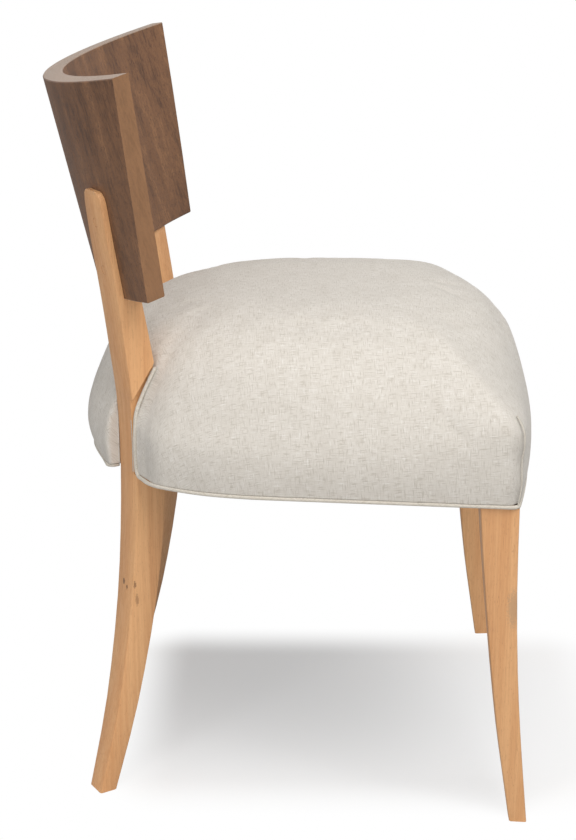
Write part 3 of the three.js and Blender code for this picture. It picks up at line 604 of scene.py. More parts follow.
@dataclass(frozen=True)
class Walnut:
    """Oiled walnut whose grain follows the straight lines of the flared panel."""

    name: str = "walnut"
    centre_low: float = -0.336
    centre_rise: float = 0.4314
    dark: Colour = paint(66, 41, 25)
    middle: Colour = paint(118, 82, 55)
    pale: Colour = paint(144, 104, 71)
    # Painted reflection: the pale grey that stands for the gloss on the upper and lower edge faces
    edge: Colour = paint(164, 144, 127)
    end: Colour = paint(146, 106, 70)
    radius: float = 0.27

    def material(self) -> bpy.types.Material:
        """Builds the material.

        The place across the grain is the angle round the panel's own axis times its radius, so
        that the grain fans out with the flare. The two ends of the panel have their own tone, and
        the upper and lower edge faces get a pale grey painted reflection; both are told apart by
        the normal.
        """
        material, graph, shader = new_material(self.name)
        spot = graph.add("ShaderNodeTexCoord")
        x, y, z = graph.split(spot.outputs["Object"])
        centre = graph.line(z, self.centre_rise, self.centre_low)
        back = graph.math("SUBTRACT", y, centre)
        angle = graph.math("ARCTAN2", x, back)
        squares = graph.plus(graph.times(x, x), graph.times(back, back))
        reach = graph.math("SQRT", squares)
        across = graph.times(angle, self.radius)
        run = graph.join(across, z, reach)
        grain = place_group(graph, grain_group(), {"Vector": run, "Waver": 0.009})
        streak, band, pore = (grain.outputs[label] for label in ("Streak", "Band", "Pore"))
        tone = graph.plus(graph.times(streak, 0.45), graph.times(band, 0.55))
        colour = graph.blend(graph.between(tone, -0.25, 0.6), self.dark, self.middle)
        colour = graph.blend(graph.between(tone, 0.6, 1.0, 0.0, 0.7), colour, self.pale)
        normal_x, normal_y, normal_z = graph.split(spot.outputs["Normal"])
        # Mask of the upper and lower edge faces, which take the painted reflection
        flat = graph.between(graph.math("ABSOLUTE", normal_z), 0.55, 0.9)
        along_x = graph.times(normal_x, graph.math("COSINE", angle))
        along_y = graph.times(normal_y, graph.math("SINE", angle))
        turned = graph.math("ABSOLUTE", graph.math("SUBTRACT", along_x, along_y))
        ends = graph.between(turned, 0.5, 0.85)
        colour = graph.blend(graph.times(ends, 0.55), colour, self.end)
        # Painted reflection: the edge faces are drawn three quarters of the way to the pale grey edge colour
        colour = graph.blend(graph.times(flat, 0.75), colour, self.edge)
        calm = graph.times(graph.line(ends, -0.8, 1.0), 0.8)
        colour = graph.blend(graph.times(pore, calm), colour, self.dark)
        rough = graph.line(streak, 0.12, 0.48)
        graph.feed_all(shader, {"Base Color": colour, "Roughness": rough})
        graph.feed_all(shader, {"Coat Weight": 0.05, "Coat Roughness": 0.35})
        relief = graph.math("SUBTRACT", graph.times(streak, 0.3), pore)
        bump(graph, shader, relief, 0.00015, 0.6)
        return material


@dataclass(frozen=True)
class Cloth:
    """Woven cloth on the piece's own thread map."""

    name: str
    base: Colour
    dark: Colour
    pale: Colour
    pitch: float
    relief: float
    mottle: float = 0.16
    turn: float = 0.0
    sheen: float = 0.2

    def material(self) -> bpy.types.Material:
        """Builds the material: a weave with slubs, a soft mottle and a little sheen."""
        material, graph, shader = new_material(self.name)
        place = graph.add("ShaderNodeTexCoord").outputs["UV"]
        inputs = {"Vector": place, "Rotation": (0.0, 0.0, self.turn)}
        turned = graph.add("ShaderNodeMapping", inputs).outputs[0]
        weave = place_group(graph, weave_group(), {"Vector": turned, "Pitch": self.pitch})
        colour = graph.blend(graph.times(weave.outputs["Slub"], 0.75), self.base, self.dark)
        colour = graph.blend(graph.times(weave.outputs["Pale"], 0.8), colour, self.pale)
        worn = graph.between(weave.outputs["Mottle"], 0.3, 0.75)
        colour = graph.blend(graph.times(worn, self.mottle), colour, self.dark)
        colour = graph.blend(graph.times(weave.outputs["Gap"], 0.5), colour, self.dark)
        graph.feed_all(shader, {"Base Color": colour, "Roughness": 0.92, "Specular IOR Level": 0.2})
        graph.feed_all(shader, {"Sheen Weight": self.sheen, "Sheen Roughness": 0.5})
        bump(graph, shader, weave.outputs["Height"], self.relief, 0.8)
        return material


@dataclass(frozen=True)
class Foam:
    """Open-cell foam inside the seat."""

    name: str = "seat_foam"
    base: Colour = paint(232, 222, 186)
    cell: Colour = paint(188, 172, 128)
    cell_size: float = 0.0012

    def material(self) -> bpy.types.Material:
        """Builds the material: small dark cells on a cream ground."""
        material, graph, shader = new_material(self.name)
        place = graph.add("ShaderNodeTexCoord").outputs["Object"]
        inputs = {"Vector": place, "Scale": 1 / self.cell_size}
        cells = graph.add("ShaderNodeTexVoronoi", inputs).outputs["Distance"]
        hole = graph.between(cells, 0.45, 0.1)
        tint = graph.noise(place, 25.0, 3.0)
        colour = graph.blend(graph.times(hole, 0.6), self.base, self.cell)
        colour = graph.blend(graph.times(tint, 0.2), colour, self.cell)
        graph.feed_all(shader, {"Base Color": colour, "Roughness": 0.95})
        bump(graph, shader, cells, 0.0006)
        return material


@dataclass(frozen=True)
class Steel:
    """Zinc-plated steel of the hidden screws."""

    name: str = "screw_steel"
    base: Colour = paint(176, 176, 172)
    dull: Colour = paint(128, 128, 124)

    def material(self) -> bpy.types.Material:
        """Builds the material: clouded zinc with fine turning marks."""
        material, graph, shader = new_material(self.name)
        place = graph.add("ShaderNodeTexCoord").outputs["Object"]
        cloud = graph.noise(place, 420.0, 3.0)
        colour, rough = graph.blend(cloud, self.base, self.dull), graph.line(cloud, 0.25, 0.3)
        graph.feed_all(shader, {"Base Color": colour, "Metallic": 1.0, "Roughness": rough})
        bump(graph, shader, graph.noise(place, 2500.0, 1.0), 0.00005)
        return material


# Seat


@dataclass
class SeatForm:
    """Sizes of the crowned seat, in metres from the middle of its own outline."""

    front_half: float = 0.2364
    waist_half: float = 0.2172
    corner_y: float = -0.204
    round_start: float = 0.020
    round_depth: float = 0.208
    front_bow: float = 0.026
    corner_radius: float = 0.008
    side_bulge: float = 0.0036
    rear_bulge: float = 0.0075
    edge_height: float = 0.345
    shoulder_height: float = 0.386
    crown_height: float = 0.5058
    crown_y: float = -0.004
    edge_inset: float = 0.0008
    side_rounding: float = 0.5
    rear_rounding: float = 0.25
    corner_lift: float = 0.044
    corner_spread: float = 0.26
    corner_top: float = 0.85
    corner_skew: float = 0.85
    fullest_bulge: float = 0.95
    profile_reach: float = 0.22
    rear_shares: tuple[tuple[float, float, float], ...] = (
        (1, 0, 0.4),
        (0.984, 0.169, 0.4),
        (0.938, 0.405, 0.38),
        (0.904, 0.501, 0.33),
        (0.876, 0.568, 0.27),
        (0.848, 0.624, 0.2),
        (0.806, 0.671, 0.12),
        (0.747, 0.708, 0.05),
        (0.672, 0.798, 0.2),
        (0.589, 0.873, 0.5),
        (0.46, 0.923, 0.8),
        (0.262, 0.984, 0.95),
        (0, 1, 1),
    )
    profile_shares: tuple[tuple[float, float, float], ...] = (
        (1, -1, 0),
        (1, -0.5, 0.95),
        (1, 0, 0.85),
        (0.968, 0.25, 0.85),
        (0.928, 0.485, 0.85),
        (0.882, 0.69, 0.85),
        (0.805, 0.86, 0.85),
        (0.6, 0.972, 0.85),
        (0.3, 0.996, 0.85),
        (0.02, 1, 0.85),
    )
    offset_y: float = field(init=False)

    def __post_init__(self) -> None:
        """Finds how far the frame's origin lies from the outline's own middle."""
        front_reach = self.corner_y - self.front_bow - self.fullest_bulge * self.side_bulge + self.edge_inset
        self.offset_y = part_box("seat_cover")[0].y - front_reach

    def half_outline(self, step: float) -> np.ndarray:
        """The left half of the outline from the front's middle to the rear's.

        The front is the parabola y = corner_y - bow (1 - (x / front_half)^2), the corner a quadratic
        Bezier, the side a straight line and the rear a curve through its shares.

        Args:
            step: the distance between points.

        Returns:
            An array of shape (n, 3) of x, y and bulge.
        """
        inner = self.front_half - self.corner_radius
        x = np.linspace(0, inner, 60)
        bow = self.corner_y - self.front_bow * (1 - (x / self.front_half) ** 2)
        front = np.stack([x, bow, np.full_like(x, self.side_bulge)], axis=1)
        slope = (self.front_half - self.waist_half) / (self.round_start - self.corner_y)
        side_start = self.corner_y + self.corner_radius
        start = front[-1]
        middle = np.array((self.front_half, self.corner_y, self.side_bulge))
        end = np.array((self.front_half - slope * self.corner_radius, side_start, self.side_bulge))
        t = np.linspace(0, 1, 9)[1:, None]
        corner = (1 - t) ** 2 * start + 2 * t * (1 - t) * middle + t**2 * end
        y = np.linspace(side_start, self.round_start, 50)[1:-1]
        half = self.front_half - slope * (y - self.corner_y)
        side = np.stack([half, y, np.full_like(y, self.side_bulge)], axis=1)
        shares = np.array(self.rear_shares, float)
        sizes = (self.waist_half, self.round_depth, self.rear_bulge)
        knots = np.array((0.0, self.round_start, 0.0)) + shares * sizes
        rear = curve_through(knots, 160)
        return evenly(np.concatenate([front, corner, side, rear]), step)

    def outline(self, step: float) -> np.ndarray:
        """The whole outline, counterclockwise from the front's middle, as x, y and bulge."""
        half = self.half_outline(step)
        return np.concatenate([half, half[-2:0:-1] * (-1, 1, 1)])

    def normals(self, outline: np.ndarray) -> np.ndarray:
        """Outward normals in plan: the tangent by central differences, turned by a right angle."""
        along = np.roll(outline, -1, axis=0) - np.roll(outline, 1, axis=0)
        return unit(np.stack([along[:, 1], -along[:, 0]], axis=1))

    def rings(self, outline: np.ndarray, rows: np.ndarray, shrink: float) -> np.ndarray:
        """Rings of the seat's skin.

        A ring with reach share s lies at centre + d r, where d is the direction from the crown
        to the outline's point and r = s^p mix(reach, oval, 1 - s^3). The power p grows towards
        the sides and the rear, and oval is the reach of an ellipse. Near a front corner the share
        grows by lift sin(pi h)^2 exp(-(angle / spread)^2), where h is the rise as a share of the height
        where this ends; it keeps the corner full.

        Args:
            outline: x, y and bulge of each point.
            rows: the share, height and bulge share of each ring.
            shrink: how far the skin lies inside the cover, in metres.

        Returns:
            An array of shape (rings, points, 3) in the frame's own place.
        """
        share, height, bulge = (rows[:, i][:, None] for i in range(3))
        out = outline[None, :, 2] * bulge - self.edge_inset - shrink
        x = outline[None, :, 0] + self.normals(outline)[None, :, 0] * out
        y = outline[None, :, 1] + self.normals(outline)[None, :, 1] * out - self.crown_y
        reach = np.hypot(x, y)
        dx, dy = x / reach, y / reach
        oval = 1 / np.hypot(dx / self.front_half, dy / (self.round_start + self.round_depth))
        corner = math.atan2(self.corner_y - self.crown_y, self.front_half)
        angle = np.arctan2(dy, np.abs(dx)) - corner
        rise = np.clip((height - self.shoulder_height) / (self.crown_height - self.shoulder_height), 0, 1)
        full = np.sin(math.pi * np.minimum(rise / self.corner_top, 1) ** self.corner_skew) ** 2
        share = share + self.corner_lift * full * np.exp(-((angle / self.corner_spread) ** 2))
        power = 1 + self.side_rounding * dx**2 + self.rear_rounding * np.maximum(dy, 0) ** 2
        radius = share**power * (reach + (oval - reach) * (1 - share**3))
        z = np.broadcast_to(height, radius.shape)
        return np.stack([dx * radius, self.crown_y + self.offset_y + dy * radius, z], axis=2)

    def profile(self, count: int, low: float, shrink: float) -> np.ndarray:
        """Rows of share, height and bulge share from the lower edge to the crown."""
        table = np.array(self.profile_shares, float)
        wall = self.shoulder_height - self.edge_height
        rise = self.crown_height - self.shoulder_height - shrink
        share, step, bulge = table.T
        height = self.shoulder_height + np.where(step < 0, step * wall, step * rise)
        knots = np.stack([share * self.profile_reach, height, bulge * self.side_bulge], axis=1)
        share, height, bulge = curve_through(knots, count).T
        rows = np.stack([share / self.profile_reach, height, bulge / self.side_bulge], axis=1)
        rows[:, 0] = np.minimum(rows[:, 0], 1)
        rows[:, 1] = np.maximum(rows[:, 1], low)
        return rows[np.concatenate([rows[1:, 1] > low, [True]])]

    def threads(self, points: np.ndarray) -> np.ndarray:
        """Where the cloth's threads lie, as flat u and v in metres.

        The cloth is laid flat over the crown and hangs straight down the sides: u = x + n_x d and
        v = y + n_y d, where n is the outline's normal beside the point and d the length of cloth
        used up by the fall from the crown.

        Args:
            points: an array of shape (n, 3).

        Returns:
            An array of shape (n, 2).
        """
        outline = self.outline(0.004)
        normal = self.normals(outline)
        bearing = np.arctan2(outline[:, 1] - self.crown_y, outline[:, 0])
        order = np.argsort(bearing)
        x, y = points[:, 0], points[:, 1] - self.offset_y
        here = np.arctan2(y - self.crown_y, x)
        n_x, n_y = (
            np.interp(here, bearing[order], normal[order, i], period=2 * math.pi) for i in (0, 1)
        )
        rows = self.profile(60, self.edge_height, 0.0)
        run = np.abs(np.diff(rows[:, 0] * self.profile_reach))
        fall = np.abs(np.diff(rows[:, 1]))
        used = np.concatenate([np.cumsum((np.hypot(run, fall) - run)[::-1])[::-1], [0]])
        drop = np.interp(points[:, 2], rows[:, 1], used)
        return np.stack([x + n_x * drop, y + n_y * drop], axis=1)


@dataclass
class Post:
    """Where a rear leg's board stands, and the housing that the cover goes into.

    The flap's edge is given as backward reach and height on the board, from the post's rear
    arris up to its front one.
    """

    angle: float = math.radians(32.9)
    x: float = 0.1341
    y: float = 0.140
    width: float = 0.0376
    housing_depth: float = 0.006
    housing_front: tuple[float, float] = (0.0134, 0.460)
    housing_rear: tuple[float, float] = (0.0371, 0.4265)
    flap_edge: tuple[tuple[float, float], ...] = (
        (0.0360, 0.3890),
        (0.0336, 0.4115),
        (0.0256, 0.4298),
        (0.0180, 0.4438),
        (0.0122, 0.4540),
    )

    def point(self, inward: np.ndarray, back: np.ndarray, height: np.ndarray, offset_y: float) -> np.ndarray:
        """Points of the left board from their inward depth, backward reach and height."""
        x = self.x - math.cos(self.angle) * inward + math.sin(self.angle) * back
        y = self.y + math.sin(self.angle) * inward + math.cos(self.angle) * back + offset_y
        return np.stack(np.broadcast_arrays(x, y, height), axis=-1)

    def inward_of(self, points: np.ndarray) -> np.ndarray:
        """How far points of the outline lie inward of the board's outer face."""
        outward = (points[:, 0] - self.x) * math.cos(self.angle)
        return -outward + (points[:, 1] - self.y) * math.sin(self.angle)

    def local(self, points: np.ndarray, offset_y: float) -> np.ndarray:
        """Inward depth, backward reach and height of points on either side of the chair."""
        x = np.abs(points[:, 0]) - self.x
        y = points[:, 1] - offset_y - self.y
        inward = y * math.sin(self.angle) - x * math.cos(self.angle)
        back = x * math.sin(self.angle) + y * math.cos(self.angle)
        return np.stack([inward, back, points[:, 2]], axis=1)

    def shoulder(self, back: np.ndarray | float) -> np.ndarray | float:
        """The height of the housing's slanting shoulder at a backward reach."""
        front, rear = self.housing_front, self.housing_rear
        return front[1] + (back - front[0]) * (rear[1] - front[1]) / (rear[0] - front[0])


def prism(name: str, low: np.ndarray, high: np.ndarray) -> bpy.types.Object:
    """A closed prism between two outlines of shape (n, 3)."""
    count = len(low)
    here = np.arange(count)
    beside = (here + 1) % count
    walls = np.stack([here, beside, count + beside, count + here], axis=1)
    faces = [here[::-1].tolist(), (count + here).tolist(), *walls.tolist()]
    piece = mesh_object(name, np.concatenate([low, high]), faces)
    turn_outwards(piece)
    return piece


def mirrored(points: np.ndarray) -> np.ndarray:
    """The points on the other side of the chair."""
    return points * (-1, 1, 1)


def tube(name: str, path: np.ndarray, radius: float, sides: int) -> bpy.types.Object:
    """A round cord along a path.

    Ring i is centre i + radius (cos w e1 + sin w e2), with e1 and e2 square to the path; e2 is the
    path's direction crossed with a guide that never lies along it. The ends are closed.

    Args:
        name: the piece's name.
        path: an array of shape (n, 3).
        radius: the cord's radius in metres.
        sides: the number of points round the cord.

    Returns:
        The piece, with its thread map along and round the cord.
    """
    along = unit(np.gradient(path, axis=0))
    inside = np.array((0.0, path[:, 1].mean(), path[:, 2].mean())) - path
    guide = inside * (1, 1, 0) + (0, 0, 1e-6)
    side = unit(np.cross(along, guide))
    other = np.cross(side, along)
    w = np.linspace(0, 2 * math.pi, sides, endpoint=False)
    cosine, sine = (turn[None, :, None] for turn in (np.cos(w), np.sin(w)))
    rings = path[:, None] + radius * (cosine * side[:, None] + sine * other[:, None])
    points, faces = capped_rings(rings)
    piece = mesh_object(name, points, faces)
    length = run_length(path)
    u = np.repeat(length, sides)
    v = np.tile(np.abs(np.linspace(-1, 1, sides)) * math.pi * radius, len(path))
    ends = np.array([[length[0], 0.0], [length[-1], 0.0]])
    set_uv(piece, np.concatenate([np.stack([u, v], axis=1), ends]))
    turn_outwards(piece)
    return piece


@dataclass
class Upholstery:
    """The seat's cover, filling, piping and the sheets and straps under it."""

    form: SeatForm
    post: Post
    linen: bpy.types.Material
    piping: bpy.types.Material
    foam: bpy.types.Material
    backing: bpy.types.Material
    webbing: bpy.types.Material
    start_shrink: float = 0.0008
    skirt: float = 0.012
    outline_step: float = 0.006
    fine_step: float = 0.002
    cover_rings: int = 46
    voxel: float = 0.0052
    fine_voxel: float = 0.00315
    frames: int = 20
    pressure: float = 4.0
    cap: float = 0.003
    thickness: float = 0.0013
    gap: float = 0.0009
    shoulder_gap: float = 0.004
    flap_end: float = 0.0354
    clearing: float = 0.06
    clearance: float = 0.0005
    reach: float = 0.005
    welt_radius: float = 0.002
    seam_top: float = 0.436
    seam_depth: float = 0.0013
    seam_width: float = 0.0042
    sag: float = 0.0025
    filling_gap: float = 0.005
    filling_share: float = 0.36
    filling_play: float = 0.0009
    rim_rise: float = 0.0023
    held_margin: float = 0.004
    post_search: float = 0.03
    opening_outer: float = 0.001
    opening_inner: float = 0.0016
    opening_start: float = 0.02
    seam_search: float = 0.09
    seam_fade: float = 0.02
    seam_cord: float = 0.0007
    seam_start: float = 0.001
    seam_knots: int = 14
    seam_sunk: float = 0.75
    front_piping_end: float = 0.0445
    piping_sides: int = 14
    rise_inward: tuple[float, ...] = (-1.5, 0.7, 1.1, 1.1, 1.1, 1.0, 0.8, 0.6)
    dust_inset: float = 0.0006
    dust_ripple: float = 0.0003
    dust_waves: int = 9
    dust_centre: float = 0.04
    strap_thickness: float = 0.0012
    strap_end_gap: float = 0.003
    strap_side_gap: float = 0.0003
    strap_oval: float = 0.5

    def build(self) -> None:
        """Builds every soft piece."""
        self.filling(self.cover())
        self.pipings()
        self.corner_seams()
        self.dust_cover()
        self.platform()
        self.straps()

    def cover(self) -> BVHTree:
        """The linen cover: crowned, cut round the posts, swelled by cloth under pressure.

        Returns:
            A search tree of the cover's outer face.
        """
        outline = self.form.outline(self.outline_step)
        low = self.form.edge_height + self.rim_rise
        rows = self.form.profile(self.cover_rings, low, self.start_shrink)
        skirt = rows[:1] - (0, self.skirt, 0)
        rows = np.concatenate([skirt, rows])
        points, faces = capped_rings(self.form.rings(outline, rows, self.start_shrink))
        piece = mesh_object("seat_cushion", points, faces)
        self.even_out(piece, self.voxel, 4)
        self.swell(piece)
        self.cut_for_posts(piece)
        self.even_out(piece, self.fine_voxel, 3)
        self.open_below(piece, low)
        self.open_at_posts(piece)
        self.keep_clear(piece)
        self.crease_corners(piece)
        outer_face = search_tree(piece.data)
        set_uv(piece, self.form.threads(coordinates(piece.data)))
        thicken(piece, self.thickness, -1.0)
        piece.data.shade_smooth()
        hand_over(piece, self.linen, "linen", "seat_cover")
        return outer_face

    def even_out(self, piece: bpy.types.Object, size: float, smoothing: int) -> None:
        """Gives the piece a new even mesh and smooths its steps away.

        Args:
            piece: a closed piece.
            size: the new mesh's edge length in metres.
            smoothing: how many times each vertex moves half way to its neighbours' middle.
        """
        remesh = piece.modifiers.new("even", "REMESH")
        remesh.mode = "VOXEL"
        remesh.voxel_size = size
        smooth = piece.modifiers.new("ease", "SMOOTH")
        smooth.factor = 0.5
        smooth.iterations = smoothing
        settle(piece)

    def post_cutters(self) -> list[bpy.types.Object]:
        """Solids that take the room of both posts, and of the housings beside them, out of the seat."""
        post, offset_y = self.post, self.form.offset_y
        far = post.housing_rear[0] + self.clearing
        edge = np.array(post.flap_edge)
        top, last = edge[-1], edge[0]
        before = 2 * top - edge[-2]
        clear = self.shoulder_gap
        rise = (post.shoulder(before[0]) + clear, post.shoulder(far) + 2 * clear)
        above = np.array([[before[0], rise[0]], [far, rise[1]]])
        slit = np.concatenate([[[far, last[1]]], edge, [before], above])
        low = self.form.edge_height - self.skirt - clear
        high = post.housing_front[1] + self.clearing
        inner, outer = post.width + self.gap / 3, -self.clearing
        slot = np.array([[outer, self.flap_end], [inner, self.flap_end], [inner, far], [outer, far]])
        cutters = []
        for side in ("left", "right"):
            leg = merged_copy(f"rear_leg_{side}", f"room_{side}", self.gap)
            self.keep_above_shoulder(leg, side)
            cutters.append(leg)
            ends = [
                (post.point(slot[:, 0], slot[:, 1], np.array(level), offset_y) for level in (low, high)),
                (
                    post.point(np.array(inward), slit[:, 0], slit[:, 1], offset_y)
                    for inward in (-self.clearing, post.housing_depth + self.gap)
                ),
            ]
            for label, (first, second) in zip(("slot", "slit"), ends):
                if side == "right":
                    first, second = mirrored(first), mirrored(second)
                cutters.append(prism(f"{label}_{side}", first, second))
        return cutters

    def keep_above_shoulder(self, leg: bpy.types.Object, side: str) -> None:
        """Keeps the stretch of a post that lies above the slanting shoulder of its housing."""
        front, rear = self.post.housing_front, self.post.housing_rear
        flip = 1 if side == "left" else -1
        at = self.post.point(np.array(0.0), np.array(front[0]), np.array(front[1]), self.form.offset_y)
        back = Vector((math.sin(self.post.angle) * flip, math.cos(self.post.angle), 0))
        slope = (rear[1] - front[1]) / (rear[0] - front[0])
        normal = Vector((0, 0, 1)) - back * slope
        place = Vector((at[0] * flip, at[1], at[2] - self.gap))
        with edited(leg) as shape:
            cut = keep_above(shape, place, normal)
            rim = [element for element in cut if isinstance(element, bmesh.types.BMEdge)]
            bmesh.ops.edgeloop_fill(shape, edges=rim)
            bmesh.ops.recalc_face_normals(shape, faces=shape.faces)

    def cut_for_posts(self, piece: bpy.types.Object) -> None:
        """Cuts the room of the posts out of the cushion."""
        cutters = self.post_cutters()
        for i, cutter in enumerate(cutters):
            cut = piece.modifiers.new(f"cut_{i}", "BOOLEAN")
            cut.operation = "DIFFERENCE"
            cut.solver = "MANIFOLD"
            cut.object = cutter
        settle(piece)
        for cutter in cutters:
            bpy.data.objects.remove(cutter)

    def near_posts(self, points: np.ndarray) -> np.ndarray:
        """The distance from each point to the nearer post, in metres."""
        nearest = np.full(len(points), NEVER_NEAR)
        for side in ("left", "right"):
            tree = node_tree(f"rear_leg_{side}")
            found = [tree.find_nearest(point, self.post_search)[3] for point in points]
            nearest = np.minimum(nearest, [NEVER_NEAR if d is None else d for d in found])
        return nearest

    def swell(self, piece: bpy.types.Object) -> None:
        """Lets the cover swell under pressure, held at its lower edge and at the posts."""
        before = coordinates(piece.data)
        held = piece.vertex_groups.new(name="held")
        low = before[:, 2] < self.form.edge_height + self.held_margin
        fixed = np.nonzero(low | (self.near_posts(before) < self.held_margin))[0]
        held.add(fixed.tolist(), 1.0, "REPLACE")
        modifier = piece.modifiers.new("cloth", "CLOTH")
        cloth = modifier.settings
        cloth.quality = 5
        cloth.mass = 0.35
        cloth.tension_stiffness = 25.0
        cloth.compression_stiffness = 25.0
        cloth.shear_stiffness = 12.0
        cloth.bending_stiffness = 1.5
        cloth.use_pressure = True
        cloth.uniform_pressure_force = self.pressure
        cloth.effector_weights.gravity = 0.0
        cloth.vertex_group_mass = "held"
        modifier.collision_settings.use_collision = False
        modifier.point_cache.frame_start = 1
        modifier.point_cache.frame_end = self.frames
        scene = bpy.context.scene
        for number in range(1, self.frames + 1):
            scene.frame_set(number)
        graph = bpy.context.evaluated_depsgraph_get()
        after = coordinates(piece.evaluated_get(graph).to_mesh())
        piece.modifiers.remove(modifier)
        piece.vertex_groups.clear()
        scene.frame_set(1)
        move = after - before
        far = np.linalg.norm(move, axis=1, keepdims=True)
        scale = self.cap * np.tanh(far / self.cap) / np.maximum(far, 1e-9)
        set_coordinates(piece.data, before + move * scale)
        log.info("seat_cushion swelled by up to %.1f mm, held to %.1f mm", far.max() * 1000, self.cap * 1000)

    def open_below(self, piece: bpy.types.Object, level: float) -> None:
        """Cuts away all of the cushion that lies below a level."""
        with edited(piece) as shape:
            keep_above(shape, Vector((0, 0, level)), Vector((0, 0, 1)))

    def open_at_posts(self, piece: bpy.types.Object) -> None:
        """Takes away the faces that close the cushion where a post passes through it."""
        post = self.post
        with edited(piece) as shape:
            middles = np.array([face.calc_center_median() for face in shape.faces])
            inward, back, height = post.local(middles, self.form.offset_y).T
            outer, inner = post.housing_depth + self.opening_outer, post.width - self.opening_inner
            inside = (inward > outer) & (inward < inner)
            behind = (back > self.opening_start) & (back < post.housing_rear[0])
            covered = inside & behind & (height < post.shoulder(back) + self.gap)
            shape.faces.ensure_lookup_table()
            doomed = [shape.faces[i] for i in np.nonzero(covered)[0]]
            bmesh.ops.delete(shape, geom=doomed, context="FACES")

    def keep_clear(self, piece: bpy.types.Object) -> None:
        """Moves points that lie just in a post, or too near it, out to the clearance from its surface."""
        points = coordinates(piece.data)
        for side in ("left", "right"):
            low, high = (np.array(corner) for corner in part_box(f"rear_leg_{side}"))
            tree = node_tree(f"rear_leg_{side}")
            within = np.all((points > low - self.reach) & (points < high + self.reach), axis=1)
            for i in np.nonzero(within)[0]:
                place, normal, _, distance = tree.find_nearest(points[i], self.reach)
                if place is None:
                    continue
                if distance < self.clearance or (Vector(points[i]) - place).dot(normal) < 0:
                    points[i] = place + normal * self.clearance
        set_coordinates(piece.data, points)

    def seam_line(self, count: int) -> np.ndarray:
        """Points up the left front corner, from the lower edge to the end of the seam."""
        outline = self.form.outline(self.fine_step)
        corner = np.argmax(outline[:, 0] - outline[:, 1])
        rows = self.form.profile(300, self.form.edge_height + self.seam_start, 0.0)
        rings = self.form.rings(outline, rows, 0.0)
        line = rings[rows[:, 1] <= self.seam_top, corner]
        return curve_through(line[:: max(1, len(line) // self.seam_knots)], count)

    def crease_corners(self, piece: bpy.types.Object) -> None:
        """Draws the cover in along the two front seams: depth exp(-(d / width)^2), fading at the top."""
        points = coordinates(piece.data)
        normals = vertex_normals(piece.data)
        left = self.seam_line(60)
        for line in (left, mirrored(left)):
            away = np.linalg.norm(points - line.mean(axis=0), axis=1)
            near = np.nonzero(away < self.seam_search)[0]
            gaps = np.linalg.norm(points[near][:, None] - line[None], axis=2)
            far = gaps.min(axis=1)
            height = line[gaps.argmin(axis=1), 2]
            fade = np.clip((self.seam_top - height) / self.seam_fade, 0, 1)
            depth = self.seam_depth * np.exp(-((far / self.seam_width) ** 2)) * fade
            points[near] -= normals[near] * depth[:, None]
        set_coordinates(piece.data, points)

    def filling(self, cover: BVHTree) -> None:
        """The foam under the cover, drawn in by a share of its own thickness.

        Points that then lie nearer to the cover's outer face than the cloth's thickness and the
        filling's play are moved in from it.

        Args:
            cover: a search tree of the cover's outer face.
        """
        piece = merged_copy("seat_foam", "seat_filling")
        self.even_out(piece, self.voxel, 5)
        mesh = piece.data
        normals = vertex_normals(mesh)
        points = coordinates(mesh)
        tree = search_tree(mesh)
        starts = points - normals * self.clearance
        hits = [tree.ray_cast(start, -normal)[3] for start, normal in zip(starts, normals)]
        thick = np.array([NEVER_NEAR if hit is None else hit for hit in hits])
        step = np.minimum(self.filling_gap, thick * self.filling_share)
        points = points - normals * step[:, None]
        least = self.thickness + self.filling_play
        for i, point in enumerate(points):
            place, normal, _, _ = cover.find_nearest(point, self.reach)
            if place is not None and (place - Vector(point)).dot(normal) < least:
                points[i] = place - normal * least
        set_coordinates(mesh, points)
        mesh.shade_smooth()
        hand_over(piece, self.foam, "foam", "seat_foam")

    def welt_path(self) -> np.ndarray:
        """The line of the piping on the left half, from the front's middle to the rear's."""
        half = self.form.half_outline(self.fine_step)
        along = unit(np.gradient(half[:, :2], axis=0))
        inward = np.stack([-along[:, 1], along[:, 0]], axis=1)
        flat = half[:, :2] + inward * self.welt_radius
        return np.column_stack([flat, np.full(len(flat), self.form.edge_height)])

    def pipings(self) -> None:
        """The piping round the front, which turns up each post, and the one between the posts."""
        line = self.welt_path()
        inward = self.post.inward_of(line)
        reach = self.post.y + self.front_piping_end
        low, radius = self.form.edge_height, self.welt_radius
        front = line[(line[:, 1] < reach) & (inward < -4 * radius)]
        outside = inward > self.post.width + 3 * radius
        front[:, 1] += self.form.offset_y
        edge = np.array(self.post.flap_edge)
        foot = np.array([[edge[0, 0], low + share * radius] for share in (0.25, 3, 7)])
        run = np.concatenate([foot, edge])
        inward = np.array(self.rise_inward) * radius
        rise = self.post.point(inward, run[:, 0], run[:, 1], self.form.offset_y)
        knots = np.concatenate([front[::3], rise])
        half = curve_through(knots, 360)
        path = np.concatenate([mirrored(half)[::-1], half[1:]])
        piece = tube("front_piping", path, radius, self.piping_sides)
        hand_over(piece, self.piping, "linen", "front_welt")
        between = line[(line[:, 1] > self.post.y) & outside]
        between[:, 1] += self.form.offset_y
        start = self.post.point(
            np.full(2, self.post.width + 1.3 * radius),
            self.post.housing_rear[0] + np.array([-0.5, 2.2]) * radius,
            np.full(2, low),
            self.form.offset_y,
        )
        half = curve_through(np.concatenate([start, between[:-2:3], between[-1:]]), 90)
        path = np.concatenate([half, mirrored(half)[-2::-1]])
        piece = tube("rear_piping", path, radius, self.piping_sides)
        hand_over(piece, self.piping, "linen", "rear_welt")

    def corner_seams(self) -> None:
        """The sewn seam at each front corner: a fine cord of stitches lying in its crease."""
        left = self.seam_line(80)
        outward = np.array((1.0, -1.0, 0.0)) / math.sqrt(2)
        left = left - outward * self.seam_depth * self.seam_sunk
        for side, line in (("left", left), ("right", mirrored(left))):
            piece = tube(f"corner_seam_{side}", line, self.seam_cord, 8)
            hand_over(piece, self.piping, "linen")

